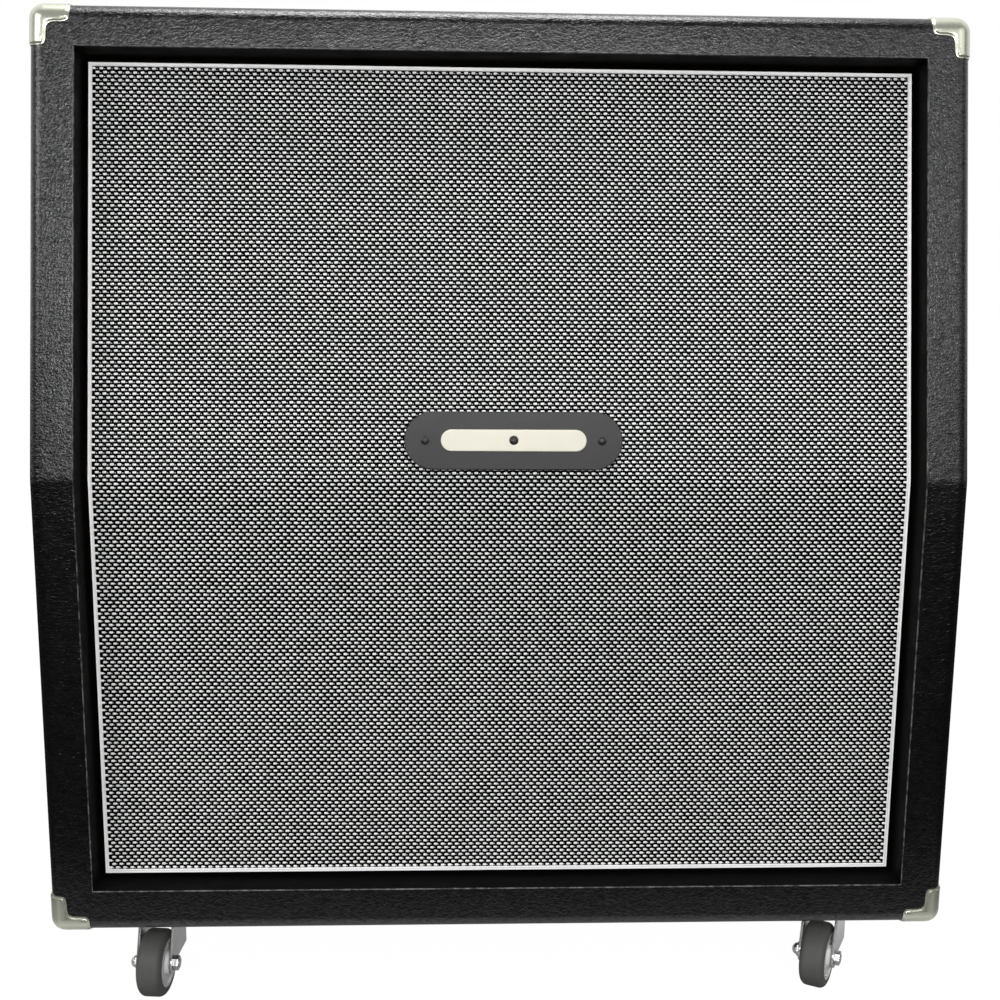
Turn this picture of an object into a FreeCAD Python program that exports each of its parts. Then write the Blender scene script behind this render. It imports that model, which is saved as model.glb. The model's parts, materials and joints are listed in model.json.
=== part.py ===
# Slant-front guitar speaker cabinet for four twelve-inch speakers, on swivel casters.
# Millimetres, +Z up, front faces -Y, origin on the floor under the middle of the cabinet.
import FreeCAD
import Part
import Sketcher
import os
import re
from math import cos, pi, radians, sin

driving_sizes = {
    # overall box, outside the vinyl
    "cab_width": 762,
    "cab_height": 762,
    "cab_depth": 356,
    "set_back": 66,
    "bend_height": 388,
    "bend_round": 40,
    "edge_round": 11.5,
    "caster_height": 83,
    # sheet stock
    "vinyl": 1,
    "panel": 18,
    "baffle": 18,
    "back_panel": 15,
    # front opening
    "border_side": 37,
    "border_top": 33.5,
    "border_bottom": 37.5,
    "recess": 26,
    "grille_gap": 4.6,
    "cloth": 1.2,
    "piping": 3.6,
    "piping_round": 1.6,
    "cleat": 20,
    "cleat_ledge": 14,
    "batten_depth": 24,
    "batten_reach": 11,
    "brace": 32,
    # rear opening
    "back_inset": 8,
    "back_gap": 0.5,
    "rear_batten": 20,
    # speakers
    "speaker_edge_gap": 17.4,
    "speaker_mid_gap": 14,
    "speaker_row_gap": 16,
    "speaker_flange": 14,
    "gasket": 3,
    "surround_width": 11.4,
    "cone_gap": 0.5,
    "cone_wall": 1.2,
    "cone_rise": 56,
    "basket_sheet": 2,
    "basket_depth": 84,
    "basket_land": 21,
    "basket_window": 44,
    "basket_windows": 6,
    "coil_size": 51,
    "coil_length": 36,
    "coil_gap": 1.5,
    "magnet_size": 156,
    "magnet_plate": 7,
    "magnet_ring": 20,
    "magnet_hole": 84,
    "pole_plate": 10,
    "terminal": 12,
    "terminal_stand": 10,
    "terminal_depth": 60,
    "bolt_inset": 6,
    "bolts_per_speaker": 8,
    "bolt_size": 5,
    "bolt_head": 10,
    "bolt_head_height": 4,
    "bolt_grip": 12,
    # corner caps
    "cap_thickness": 0.6,
    "cap_ridge": 0.7,
    "cap_leg": 33,
    "cap_width": 14.8,
    "cap_rim": 1.8,
    # badge place
    "badge_width": 180,
    "badge_height": 48,
    "badge_thickness": 2.5,
    "badge_offset": 8,
    "badge_rise": 34,
    "badge_bar_width": 120,
    "badge_bar_height": 18,
    "badge_bar_thickness": 2,
    "badge_screw_spread": 146,
    # side handles
    "handle_width": 226,
    "handle_height": 120,
    "handle_flange": 3,
    "handle_corner": 16,
    "handle_level": 400,
    "cup_width": 190,
    "cup_height": 92,
    "cup_depth": 46,
    "cup_wall": 3,
    "cup_corner": 12,
    "cup_clearance": 0.4,
    "grip_size": 20,
    "grip_drop": 9,
    "grip_rise": 20,
    # jack plate and sockets
    "jack_plate_width": 112,
    "jack_plate_height": 64,
    "jack_plate_sheet": 2,
    "jack_window_width": 84,
    "jack_window_height": 44,
    "jack_spread": 24,
    "jack_bore": 6.4,
    "jack_bore_depth": 30,
    "jack_bush": 9.5,
    "jack_bush_out": 6,
    "jack_nut": 14,
    "jack_nut_height": 3,
    "jack_body": 20,
    "jack_body_depth": 28,
    "jack_lug_length": 8,
    "jack_lug_rise": 6,
    "lead_size": 5,
    "lead_bend": 18,
    "lead_drop_depth": 100,
    # screws
    "screw_size": 4,
    "screw_head": 9,
    "screw_head_height": 2.4,
    "screw_length": 26,
    "screw_clearance": 0.1,
    "small_screw": 3,
    "small_screw_head": 7,
    "small_screw_length": 14,
    # casters
    "swivel_inset": 79,
    "swivel_setback": 72,
    "swivel_front_left": 5.6,
    "swivel_front_right": 28.7,
    "swivel_rear_left": 160,
    "swivel_rear_right": 200,
    "caster_plate_width": 74,
    "caster_plate_depth": 60,
    "caster_plate_sheet": 3,
    "caster_hole_inset": 9,
    "race_size": 44,
    "race_height": 6,
    "swivel_gap": 0.3,
    "kingpin": 12,
    "kingpin_head": 18,
    "kingpin_head_height": 3,
    "running_fit": 0.06,
    "trail": 24,
    "wheel_size": 58,
    "tread_width": 22,
    "tread_round": 5.6,
    "core_size": 42,
    "core_rim": 2.5,
    "hub_width": 26.2,
    "hub_size": 20,
    "web_width": 13,
    "fork_gap": 27,
    "fork_sheet": 2.5,
    "fork_crown": 49,
    "fork_crown_sheet": 3,
    "fork_shoulder": 26,
    "fork_toe": 18,
    "fork_drop": 40,
    "axle": 8,
    "axle_boss": 19,
    "axle_head": 11.5,
    "axle_head_height": 7,
    "axle_nut_height": 4.5,
}

# What follows from the driving sizes, in words that other expressions use.
derived = {
    "slope": "set_back / (cab_height - bend_height)",
    "slant": "atan(slope)",
    "half_tan": "tan(slant / 2)",
    "front": "-cab_depth / 2",
    "back": "cab_depth / 2",
    "base": "caster_height",
    "crest": "caster_height + cab_height",
    "bend": "caster_height + bend_height",
    "half_width": "cab_width / 2",
    "inner_half": "half_width - vinyl - panel",
    "opening_half": "half_width - border_side",
    "opening_low": "base + border_bottom",
    "opening_high": "crest - border_top",
    "opening_high_y": "front + (opening_high - bend) * slope",
    "cloth_back": "recess + cloth",
    "pocket": "recess + cloth + baffle",
    "pocket_bend": "bend - pocket * half_tan",
    "grille_half": "opening_half - grille_gap",
    "back_face": "back - back_inset",
    "back_inner": "back_face - vinyl - back_panel",
    "lower_centre": "(opening_low + grille_gap + pocket_bend) / 2",
    "upper_reach": "((opening_high - bend) / cos(slant) - grille_gap + pocket * half_tan) / 2",
    "upper_centre": "bend + upper_reach * cos(slant) - pocket * sin(slant)",
    "upper_centre_y": "front + upper_reach * sin(slant) + pocket * cos(slant)",
    "column_room": "grille_half - speaker_edge_gap - speaker_mid_gap",
    "lower_room": "pocket_bend - opening_low - grille_gap - 2 * speaker_row_gap",
    "upper_room": "2 * upper_reach - 2 * speaker_row_gap",
    "speaker_size": "min(column_room; lower_room; upper_room)",
    "speaker_spread": "speaker_mid_gap + column_room / 2",
    "speaker_cutout": "speaker_size - 2 * speaker_flange",
    "surround_inner": "speaker_cutout - 2 * surround_width",
    "bolt_circle": "speaker_size - 2 * bolt_inset",
    "basket_seat": "(speaker_cutout + coil_size + basket_land) / 2",
    "terminal_root": "(speaker_cutout + basket_seat) / 4 - terminal",
    "terminal_reach": "terminal_root + terminal_stand",
    "jack_level": "lower_centre",
    "crown_top": "base - caster_plate_sheet - race_height - swivel_gap",
    "crown_bottom": "crown_top - fork_crown_sheet",
    "wheel_radius": "wheel_size / 2",
    "swivel_x": "half_width - swivel_inset",
    "swivel_y": "back - swivel_setback",
}

doc = FreeCAD.newDocument("speaker_cabinet")
sheet = doc.addObject("Spreadsheet::Sheet", "sizes")
for row, (size_name, size_value) in enumerate(driving_sizes.items(), start=1):
    sheet.set(f"A{row}", size_name)
    sheet.set(f"B{row}", str(size_value))
    sheet.setAlias(f"B{row}", size_name)
doc.recompute()

sub_parts = []
axis_turn = {
    "X": FreeCAD.Rotation(FreeCAD.Vector(0, 1, 0), 90),
    "Y": FreeCAD.Rotation(FreeCAD.Vector(1, 0, 0), -90),
    "Z": FreeCAD.Rotation(),
}


def full(text):
    """Write an expression out in the words of the sheet."""
    def swap(match):
        word = match.group(0)
        if word in derived:
            return "(" + full(derived[word]) + ")"
        if word in driving_sizes:
            return "sizes." + word
        return word
    return re.sub(r"[a-z_]+", swap, text)


def number(text):
    value = sheet.evalExpression(full(text))
    return float(getattr(value, "Value", value))


def keep(piece, label):
    piece.Label = label
    sub_parts.append(piece)
    return piece


def place(piece, x="0", y="0", z="0", axis=None, angle="0"):
    if axis:
        piece.Placement.Rotation = FreeCAD.Rotation(axis, 1)
        piece.setExpression("Placement.Rotation.Angle", full(angle))
    piece.setExpression("Placement.Base.x", full(x))
    piece.setExpression("Placement.Base.y", full(y))
    piece.setExpression("Placement.Base.z", full(z))
    return piece


def sketch_on(body, plane, points, name):
    """A closed outline whose corners are pairs of expressions."""
    origin_plane = [item for item in body.Origin.OriginFeatures if item.Role == plane][0]
    sketch = body.newObject("Sketcher::SketchObject", name)
    sketch.AttachmentSupport = [(origin_plane, "")]
    sketch.MapMode = "FlatFace"
    corners = [FreeCAD.Vector(number(u), number(v), 0) for u, v in points]
    count = len(points)
    for index in range(count):
        sketch.addGeometry(Part.LineSegment(corners[index], corners[(index + 1) % count]), False)
    for index in range(count):
        sketch.addConstraint(Sketcher.Constraint("Coincident", index, 2, (index + 1) % count, 1))
    for index, (u, v) in enumerate(points):
        across = Sketcher.Constraint("DistanceX", -1, 1, index, 1, corners[index].x)
        sketch.setExpression(f"Constraints[{sketch.addConstraint(across)}]", full(u))
        up = Sketcher.Constraint("DistanceY", -1, 1, index, 1, corners[index].y)
        sketch.setExpression(f"Constraints[{sketch.addConstraint(up)}]", full(v))
    return sketch


def prism(name, plane, points, length):
    """An outline padded evenly to both sides of its plane."""
    body = doc.addObject("PartDesign::Body", name)
    pad = body.newObject("PartDesign::Pad", name + "_pad")
    pad.Profile = sketch_on(body, plane, points, name + "_outline")
    pad.SideType = "Symmetric"
    pad.setExpression("Length", full(length))
    body.Tip = pad
    doc.recompute()
    return body


def pocket_through(body, plane, points, length):
    cut_out = body.newObject("PartDesign::Pocket", body.Name + "_pocket")
    cut_out.Profile = sketch_on(body, plane, points, body.Name + "_pocket_outline")
    cut_out.SideType = "Symmetric"
    cut_out.setExpression("Length", full(length))
    body.Tip = cut_out
    doc.recompute()
    return body


def round_edges(body, radius, wanted):
    """Round the edges of a body for which wanted(edge) is true."""
    base = body.Tip
    names = [f"Edge{index}" for index, edge in enumerate(base.Shape.Edges, start=1) if wanted(edge)]
    rounding = body.newObject("PartDesign::Fillet", body.Name + "_round")
    rounding.Base = (base, names)
    rounding.setExpression("Radius", full(radius))
    body.Tip = rounding
    doc.recompute()
    return body


def turned(name, plane, axis, points):
    """A closed outline turned a full turn about a sketch axis."""
    body = doc.addObject("PartDesign::Body", name)
    turn = body.newObject("PartDesign::Revolution", name + "_turn")
    sketch = sketch_on(body, plane, points, name + "_outline")
    turn.Profile = sketch
    turn.ReferenceAxis = (sketch, [axis])
    turn.Angle = 360
    body.Tip = turn
    doc.recompute()
    return body


def box(name, low, size):
    block = doc.addObject("Part::Box", name)
    for side, length in zip(("Length", "Width", "Height"), size):
        block.setExpression(side, full(length))
    return place(block, *low)


def cylinder(name, radius, length, start, axis="Z"):
    rod = doc.addObject("Part::Cylinder", name)
    rod.setExpression("Radius", full(radius))
    rod.setExpression("Height", full(length))
    rod.Placement.Rotation = axis_turn[axis]
    return place(rod, *start)


def cut(name, base, tool):
    result = doc.addObject("Part::Cut", name)
    result.Base = base
    result.Tool = tool
    return result


def common(name, base, tool):
    result = doc.addObject("Part::Common", name)
    result.Base = base
    result.Tool = tool
    return result


def fuse(name, pieces):
    result = doc.addObject("Part::MultiFuse", name)
    result.Shapes = pieces
    return result


def group(name, shapes):
    """Separate solids that share one node or one set of holes."""
    result = doc.addObject("Part::Feature", name)
    result.Shape = Part.Compound(shapes)
    return result


def point(x, y, z):
    return FreeCAD.Vector(number(x), number(y), number(z))


def screws(name, seats, size, length, head, head_height):
    """Pan-head screws: each seat is a point under the head and the way in."""
    shapes = []
    for seat, way in seats:
        shank = Part.makeCylinder(number(size) / 2, number(length), seat, way)
        cap = Part.makeCylinder(number(head) / 2, number(head_height), seat, way * -1)
        shapes.append(shank.fuse(cap).removeSplitter())
    return group(name, shapes)


def holes(name, seats, size, length):
    """Clearance holes along the same seats."""
    radius = number(size) / 2 + number("screw_clearance")
    depth = number(length) + number("screw_clearance")
    return group(name, [Part.makeCylinder(radius, depth, seat, way) for seat, way in seats])


side_axis = FreeCAD.Vector(1, 0, 0)
upright = FreeCAD.Vector(0, 0, 1)
to_front = FreeCAD.Vector(0, -1, 0)
slant_angle = number("slant")
slant_in = FreeCAD.Vector(0, cos(radians(slant_angle)), -sin(radians(slant_angle)))
slant_up = FreeCAD.Vector(0, sin(radians(slant_angle)), cos(radians(slant_angle)))
both_sides = {"left": -1, "right": 1}

# Where a row of screws has its screws, as shares of the run.
back_row_shares = (-1, -0.5, 0, 0.5, 1)
back_side_shares = (0.25, 0.5, 0.75)
badge_screw_shares = (-0.5, 0, 0.5)
baffle_side_shares = (0.25, 0.75)
baffle_end_shares = (-0.6, 0, 0.6)


# Outer forms: the bent side outline grown evenly, with the bend and every outer edge rounded.
def cabinet_form(name, grow):
    outline = [
        (f"front - ({grow})", f"base - ({grow})"),
        (f"back + ({grow})", f"base - ({grow})"),
        (f"back + ({grow})", f"crest + ({grow})"),
        (f"front + (crest + ({grow}) - bend) * slope - ({grow}) / cos(slant)", f"crest + ({grow})"),
        (f"front - ({grow})", f"bend + ({grow}) * half_tan"),
    ]
    body = prism(name, "YZ_Plane", outline, f"cab_width + 2 * ({grow})")
    limits = body.Tip.Shape.BoundBox

    def is_cross(edge):
        return edge.BoundBox.XLength > limits.XLength / 2

    def at_end(edge):
        middle = edge.BoundBox.Center.z
        return min(middle - limits.ZMin, limits.ZMax - middle) < limits.ZLength / 100

    round_edges(body, f"bend_round + ({grow})", lambda edge: is_cross(edge) and not at_end(edge))
    round_edges(body, f"edge_round + ({grow})", lambda edge: not is_cross(edge) or at_end(edge))
    return body


# A band that follows the bent front between two depths, inside the opening by a margin.
def bent_outline(near, far, margin):
    def slanted(depth):
        return (
            f"opening_high_y - ({margin}) * sin(slant) + ({depth}) * cos(slant)",
            f"opening_high - ({margin}) * cos(slant) - ({depth}) * sin(slant)",
        )
    return [
        (f"front + ({near})", f"opening_low + ({margin})"),
        (f"front + ({far})", f"opening_low + ({margin})"),
        (f"front + ({far})", f"bend - ({far}) * half_tan"),
        slanted(far),
        slanted(near),
        (f"front + ({near})", f"bend - ({near}) * half_tan"),
    ]


def bent_band(name, near, far, margin, half):
    return prism(name, "YZ_Plane", bent_outline(near, far, margin), f"2 * ({half})")


outer_form = cabinet_form("outer_form", "0")
wood_form = cabinet_form("wood_form", "-vinyl")
front_air = bent_band("front_air", "-recess", "pocket", "0", "opening_half")
front_air_wide = bent_band("front_air_wide", "-recess", "pocket", "-vinyl", "opening_half + vinyl")
rear_air = box(
    "rear_air",
    ("-(inner_half - vinyl)", "back_inner", "base + 2 * vinyl + panel"),
    ("2 * (inner_half - vinyl)", "back - back_inner + back_inset", "cab_height - 4 * vinyl - 2 * panel"),
)
rear_air_wide = box(
    "rear_air_wide",
    ("-inner_half", "back_inner", "base + vinyl + panel"),
    ("2 * inner_half", "back - back_inner + back_inset", "cab_height - 2 * vinyl - 2 * panel"),
)


# Seats of the fasteners.
def handle_seats(side):
    across = both_sides[side]
    inset = "(handle_width + cup_width) / 4"
    rise = "(handle_height + cup_height) / 4"
    seats = []
    for along in (-1, 1):
        for up in (-1, 1):
            seat = point(
                f"{across} * (half_width + handle_flange)",
                f"{along} * {inset}",
                f"base + handle_level + {up} * {rise}",
            )
            seats.append((seat, side_axis * -across))
    return seats


def caster_centres():
    return {
        "front_left": ("-swivel_x", "-swivel_y", "swivel_front_left"),
        "front_right": ("swivel_x", "-swivel_y", "swivel_front_right"),
        "rear_left": ("-swivel_x", "swivel_y", "swivel_rear_left"),
        "rear_right": ("swivel_x", "swivel_y", "swivel_rear_right"),
    }


def caster_seats():
    seats = []
    for x, y, _ in caster_centres().values():
        for across in (-1, 1):
            for along in (-1, 1):
                seat = point(
                    f"{x} + {across} * (caster_plate_width / 2 - caster_hole_inset)",
                    f"{y} + {along} * (caster_plate_depth / 2 - caster_hole_inset)",
                    "base - caster_plate_sheet",
                )
                seats.append((seat, upright))
    return seats


def back_panel_seats():
    reach = "inner_half - rear_batten / 2"
    low = "base + vinyl + panel + rear_batten / 2"
    high = "crest - vinyl - panel - rear_batten / 2"
    seats = []
    for share in back_row_shares:
        for level in (low, high):
            seats.append((point(f"{share} * ({reach})", "back_face", level), to_front))
    for share in back_side_shares:
        for across in (-1, 1):
            level = f"({low}) + {share} * (({high}) - ({low}))"
            seats.append((point(f"{across} * ({reach})", "back_face", level), to_front))
    return seats


def jack_plate_seats():
    inset = "(jack_plate_width + jack_window_width) / 4"
    rise = "(jack_plate_height + jack_window_height) / 4"
    seats = []
    for across in (-1, 1):
        for up in (-1, 1):
            seat = point(f"{across} * {inset}", "back_face + jack_plate_sheet", f"jack_level + {up} * {rise}")
            seats.append((seat, to_front))
    return seats


def front_point(reach, x, depth):
    """A point on the slanted half, a reach up the slope from the bend and a depth behind it."""
    start = FreeCAD.Vector(number(x), number("front"), number("bend"))
    return start + slant_up * number(reach) + slant_in * number(depth)


def badge_seats():
    depth = "recess - badge_thickness"
    return [
        (front_point("badge_rise", f"badge_offset + {share} * badge_screw_spread", depth), slant_in)
        for share in badge_screw_shares
    ]


def baffle_seats():
    """Seats on the back of the cleats, driven forwards into the baffle."""
    rear = "pocket + cleat"
    side = "opening_half - cleat_ledge + (cleat_ledge - grille_gap - cloth) / 2"
    edge = "grille_gap + cloth + (cleat_ledge - grille_gap - cloth) / 2"
    seats = []
    for across in (-1, 1):
        for share in baffle_side_shares:
            level = f"opening_low + {share} * (pocket_bend - opening_low)"
            seats.append((point(f"{across} * ({side})", f"front + {rear}", level), to_front))
            seats.append((front_point(f"{share} * 2 * upper_reach", f"{across} * ({side})", rear), slant_in * -1))
    for share in baffle_end_shares:
        seats.append((point(f"{share} * opening_half", f"front + {rear}", f"opening_low + {edge}"), to_front))
        top = f"(opening_high - bend) / cos(slant) - ({edge})"
        seats.append((front_point(top, f"{share} * opening_half", rear), slant_in * -1))
    return seats


def speaker_frames():
    """Where each speaker meets the back of its baffle, and whether it leans."""
    frames = {}
    for side, across in both_sides.items():
        x = f"{across} * speaker_spread"
        frames["lower_" + side] = (x, "front + pocket", "lower_centre", "0", across)
        frames["upper_" + side] = (x, "upper_centre_y", "upper_centre", "-slant", across)
    return frames


def speaker_seat(frame):
    x, y, z, angle, _ = frame
    return FreeCAD.Placement(point(x, y, z), FreeCAD.Rotation(side_axis, number(angle)))


def speaker_bolt_seats(frame):
    """Seats on the back of the basket flange, driven forwards into the baffle."""
    seat = speaker_seat(frame)
    forward = seat.Rotation.multVec(to_front)
    count = int(number("bolts_per_speaker"))
    radius = number("bolt_circle") / 2
    depth = number("gasket + basket_sheet")
    seats = []
    for index in range(count):
        turn = 2 * pi * (index + 0.5) / count
        local = FreeCAD.Vector(radius * cos(turn), depth, radius * sin(turn))
        seats.append((seat.multVec(local), forward))
    return seats


all_bolt_seats = {name: speaker_bolt_seats(frame) for name, frame in speaker_frames().items()}
bolt_reach = "gasket + basket_sheet + bolt_grip"
handle_holes = holes(
    "handle_holes",
    handle_seats("left") + handle_seats("right"),
    "small_screw",
    "small_screw_length",
)
caster_holes = holes("caster_holes", caster_seats(), "screw_size", "screw_length")
back_panel_holes = holes("back_panel_holes", back_panel_seats(), "screw_size", "screw_length")
jack_plate_holes = holes("jack_plate_holes", jack_plate_seats(), "small_screw", "small_screw_length")
badge_holes = holes("badge_holes", badge_seats(), "small_screw", "small_screw_length")
baffle_holes = holes("baffle_holes", baffle_seats(), "screw_size", "cleat + baffle / 2")
upper_bolt_holes = holes(
    "upper_bolt_holes",
    all_bolt_seats["upper_left"] + all_bolt_seats["upper_right"],
    "bolt_size",
    bolt_reach,
)
lower_bolt_holes = holes(
    "lower_bolt_holes",
    all_bolt_seats["lower_left"] + all_bolt_seats["lower_right"],
    "bolt_size",
    bolt_reach,
)


# Side handles: a flanged cup through the side panel with a grip bar across its mouth.
def rounded_block(name, width, height, length, corner, start):
    half_w = f"({width}) / 2"
    half_h = f"({height}) / 2"
    outline = [
        (f"-{half_w}", f"-{half_h}"),
        (half_w, f"-{half_h}"),
        (half_w, half_h),
        (f"-{half_w}", half_h),
    ]
    body = prism(name, "YZ_Plane", outline, length)
    span = body.Tip.Shape.BoundBox.XLength

    def runs_across(edge):
        return abs(edge.BoundBox.XLength - span) < span / 100

    round_edges(body, corner, runs_across)
    return place(body, f"({start}) + ({length}) / 2", "0", "0")


def side_place(piece, side):
    turn = "0" if side == "right" else "180"
    across = both_sides[side]
    return place(piece, f"{across} * half_width", "0", "base + handle_level", upright, turn)


def handle_opening(side):
    tool = rounded_block(
        side + "_handle_opening",
        "cup_width + 2 * cup_clearance",
        "cup_height + 2 * cup_clearance",
        "2 * (panel + vinyl + cup_depth)",
        "cup_corner + cup_clearance",
        "-(panel + vinyl + cup_depth)",
    )
    return side_place(tool, side)


def handle(side):
    flange = rounded_block(
        side + "_flange", "handle_width", "handle_height", "handle_flange", "handle_corner", "0"
    )
    shell = rounded_block(side + "_cup", "cup_width", "cup_height", "cup_depth", "cup_corner", "-cup_depth")
    hollow = rounded_block(
        side + "_hollow",
        "cup_width - 2 * cup_wall",
        "cup_height - 2 * cup_wall",
        "cup_depth - cup_wall + 2 * handle_flange",
        "cup_corner - cup_wall",
        "cup_wall - cup_depth",
    )
    grip = cylinder(
        side + "_grip",
        "grip_size / 2",
        "cup_width - cup_wall",
        ("-grip_drop", "-(cup_width - cup_wall) / 2", "grip_rise"),
        "Y",
    )
    cup = cut(side + "_open_cup", fuse(side + "_flanged_cup", [flange, shell]), hollow)
    whole = fuse(side + "_gripped_cup", [cup, grip])
    side_place(whole, side)
    return keep(cut(side + "_drilled_handle", whole, handle_holes), side + "_handle")


left_opening = handle_opening("left")
right_opening = handle_opening("right")
for side_name in both_sides:
    handle(side_name)
keep(
    screws(
        "handle_screw_set",
        handle_seats("left") + handle_seats("right"),
        "small_screw",
        "small_screw_length",
        "small_screw_head",
        "screw_head_height",
    ),
    "handle_screws",
)


# Plywood carcass, cut from the wood form and drilled for its fasteners.
def side_panel(side):
    start = "-inner_half - panel" if side == "left" else "inner_half"
    board = box(side + "_board", (start, "front", "base"), ("panel", "cab_depth", "cab_height"))
    shaped = common(side + "_shaped", wood_form, board)
    opened = cut(side + "_opened", shaped, left_opening if side == "left" else right_opening)
    keep(cut(side + "_drilled", opened, handle_holes), side + "_side_panel")


for side_name in both_sides:
    side_panel(side_name)
top_board = box(
    "top_board",
    ("-inner_half", "front", "crest - vinyl - panel"),
    ("2 * inner_half", "cab_depth", "panel"),
)
keep(common("top_shaped", wood_form, top_board), "top_panel")
bottom_board = box(
    "bottom_board",
    ("-inner_half", "front", "base + vinyl"),
    ("2 * inner_half", "cab_depth", "panel"),
)
bottom_shaped = common("bottom_shaped", wood_form, bottom_board)
keep(cut("bottom_drilled", bottom_shaped, caster_holes), "bottom_panel")


# Front frame strips between the panels and the recess.
def slant_y(level, depth):
    return f"front + (({level}) - bend) * slope + ({depth}) / cos(slant)"


frame_low = "base + vinyl + panel"
frame_high = "crest - vinyl - panel"
stile_outline = [
    ("front", frame_low),
    ("front + pocket", frame_low),
    ("front + pocket", "pocket_bend"),
    (slant_y(frame_high, "pocket"), frame_high),
    (slant_y(frame_high, "0"), frame_high),
    ("front", "bend"),
]
stile_width = "inner_half - opening_half - vinyl"
for side_name, across in both_sides.items():
    strip = prism(side_name + "_strip", "YZ_Plane", stile_outline, stile_width)
    place(strip, f"{across} * (inner_half - ({stile_width}) / 2)")
    keep(common(side_name + "_stile", wood_form, strip), side_name + "_front_stile")
bottom_rail = box(
    "bottom_rail",
    ("-(opening_half + vinyl)", "front + vinyl", frame_low),
    ("2 * (opening_half + vinyl)", "pocket - vinyl", f"opening_low - vinyl - ({frame_low})"),
)
keep(bottom_rail, "bottom_front_rail")


def above_opening(depth, rise):
    """A point on a line square to the slanted face, above the top of the opening."""
    return (
        f"opening_high_y + ({rise}) * sin(slant) + ({depth}) * cos(slant)",
        f"opening_high + ({rise}) * cos(slant) - ({depth}) * sin(slant)",
    )


top_rail_outline = [
    above_opening("vinyl", "vinyl"),
    above_opening("pocket", "vinyl"),
    (slant_y(frame_high, "pocket"), frame_high),
    (slant_y(frame_high, "vinyl"), frame_high),
]
keep(prism("top_rail", "YZ_Plane", top_rail_outline, "2 * (opening_half + vinyl)"), "top_front_rail")

# Cleats on the back of the frame strips, which the baffle is screwed to.
cleat_width = "inner_half - opening_half + cleat_ledge"
side_cleat_outline = bent_outline("pocket", "pocket + cleat", "0")
cleats = []
for side_name, across in both_sides.items():
    strip = prism(side_name + "_cleat", "YZ_Plane", side_cleat_outline, cleat_width)
    cleats.append(place(strip, f"{across} * (inner_half - ({cleat_width}) / 2)"))
cleat_root = "(border_bottom - vinyl - panel) / 2"
cross_cleat = "2 * (opening_half - cleat_ledge)"
cleats.append(
    box(
        "bottom_cleat",
        ("-(opening_half - cleat_ledge)", "front + pocket", f"opening_low - {cleat_root}"),
        (cross_cleat, "cleat", f"cleat_ledge + {cleat_root}"),
    )
)
top_cleat_root = "(border_top - vinyl - panel) / 2"
top_cleat_outline = [
    above_opening("pocket", "-cleat_ledge"),
    above_opening("pocket + cleat", "-cleat_ledge"),
    above_opening("pocket + cleat", top_cleat_root),
    above_opening("pocket", top_cleat_root),
]
cleats.append(prism("top_cleat", "YZ_Plane", top_cleat_outline, cross_cleat))
cleat_group = doc.addObject("Part::Compound", "cleat_group")
cleat_group.Links = cleats
handle_cups = fuse("handle_cups", [left_opening, right_opening])
cleared_cleats = cut("cleared_cleats", cleat_group, handle_cups)
keep(cut("drilled_cleats", cleared_cleats, baffle_holes), "baffle_cleats")

# Baffle boards, mitred at the bend, with the speaker cut-outs and blind bolt holes.
baffle_margin = "grille_gap + cloth"
baffle_half = "grille_half - cloth"
whole_outline = bent_outline("cloth_back", "pocket", baffle_margin)
lower_outline = [whole_outline[0], whole_outline[1], whole_outline[2], whole_outline[5]]
upper_outline = [whole_outline[5], whole_outline[2], whole_outline[3], whole_outline[4]]


def cut_out(frame, name):
    x, y, z, angle, _ = frame
    depth = "baffle * 2"
    tool = turned(
        name,
        "XY_Plane",
        "V_Axis",
        [
            ("0", f"-({depth})"),
            ("speaker_cutout / 2", f"-({depth})"),
            ("speaker_cutout / 2", depth),
            ("0", depth),
        ],
    )
    return place(tool, x, y, z, side_axis, angle)


for level, outline, bolt_tool in (
    ("lower", lower_outline, lower_bolt_holes),
    ("upper", upper_outline, upper_bolt_holes),
):
    board = prism(level + "_board", "YZ_Plane", outline, f"2 * ({baffle_half})")
    for side_name in both_sides:
        opening = cut_out(speaker_frames()[f"{level}_{side_name}"], f"{level}_{side_name}_cut_out")
        board = cut(f"{level}_{side_name}_opened", board, opening)
    board = cut(level + "_bolted", board, bolt_tool)
    board = cut(level + "_screwed", board, baffle_holes)
    if level == "upper":
        board = cut("upper_badge_drilled", board, badge_holes)
    keep(board, level + "_baffle")

# Batten behind the bend of the baffle, and the brace from it to the back panel.
batten_outline = [
    ("front + pocket", "pocket_bend - batten_reach"),
    ("front + pocket + batten_depth", "pocket_bend - batten_reach"),
    ("front + pocket + batten_depth", "pocket_bend + batten_reach"),
    ("front + pocket + batten_reach * slope", "pocket_bend + batten_reach"),
    ("front + pocket", "pocket_bend"),
]
keep(prism("batten", "YZ_Plane", batten_outline, cross_cleat), "bend_batten")
brace_start = "front + pocket + batten_depth"
keep(
    box(
        "brace_post",
        ("-brace / 2", brace_start, "pocket_bend - brace / 2"),
        ("brace", f"back_inner - ({brace_start})", "brace"),
    ),
    "centre_brace",
)

# Battens inside the rear opening.
batten_low = "base + vinyl + panel"
batten_high = "crest - vinyl - panel - rear_batten"
batten_span = "cab_height - 2 * (vinyl + panel + rear_batten)"
rear_set = [
    box("rear_low", ("-inner_half", "back_inner - rear_batten", batten_low),
        ("2 * inner_half", "rear_batten", "rear_batten")),
    box("rear_high", ("-inner_half", "back_inner - rear_batten", batten_high),
        ("2 * inner_half", "rear_batten", "rear_batten")),
]
for side_name, start in (("left", "-inner_half"), ("right", "inner_half - rear_batten")):
    rear_set.append(
        box(
            side_name + "_rear_batten",
            (start, "back_inner - rear_batten", f"{batten_low} + rear_batten"),
            ("rear_batten", "rear_batten", batten_span),
        )
    )
rear_group = doc.addObject("Part::Compound", "rear_group")
rear_group.Links = rear_set
keep(cut("rear_drilled", rear_group, back_panel_holes), "rear_battens")

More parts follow.
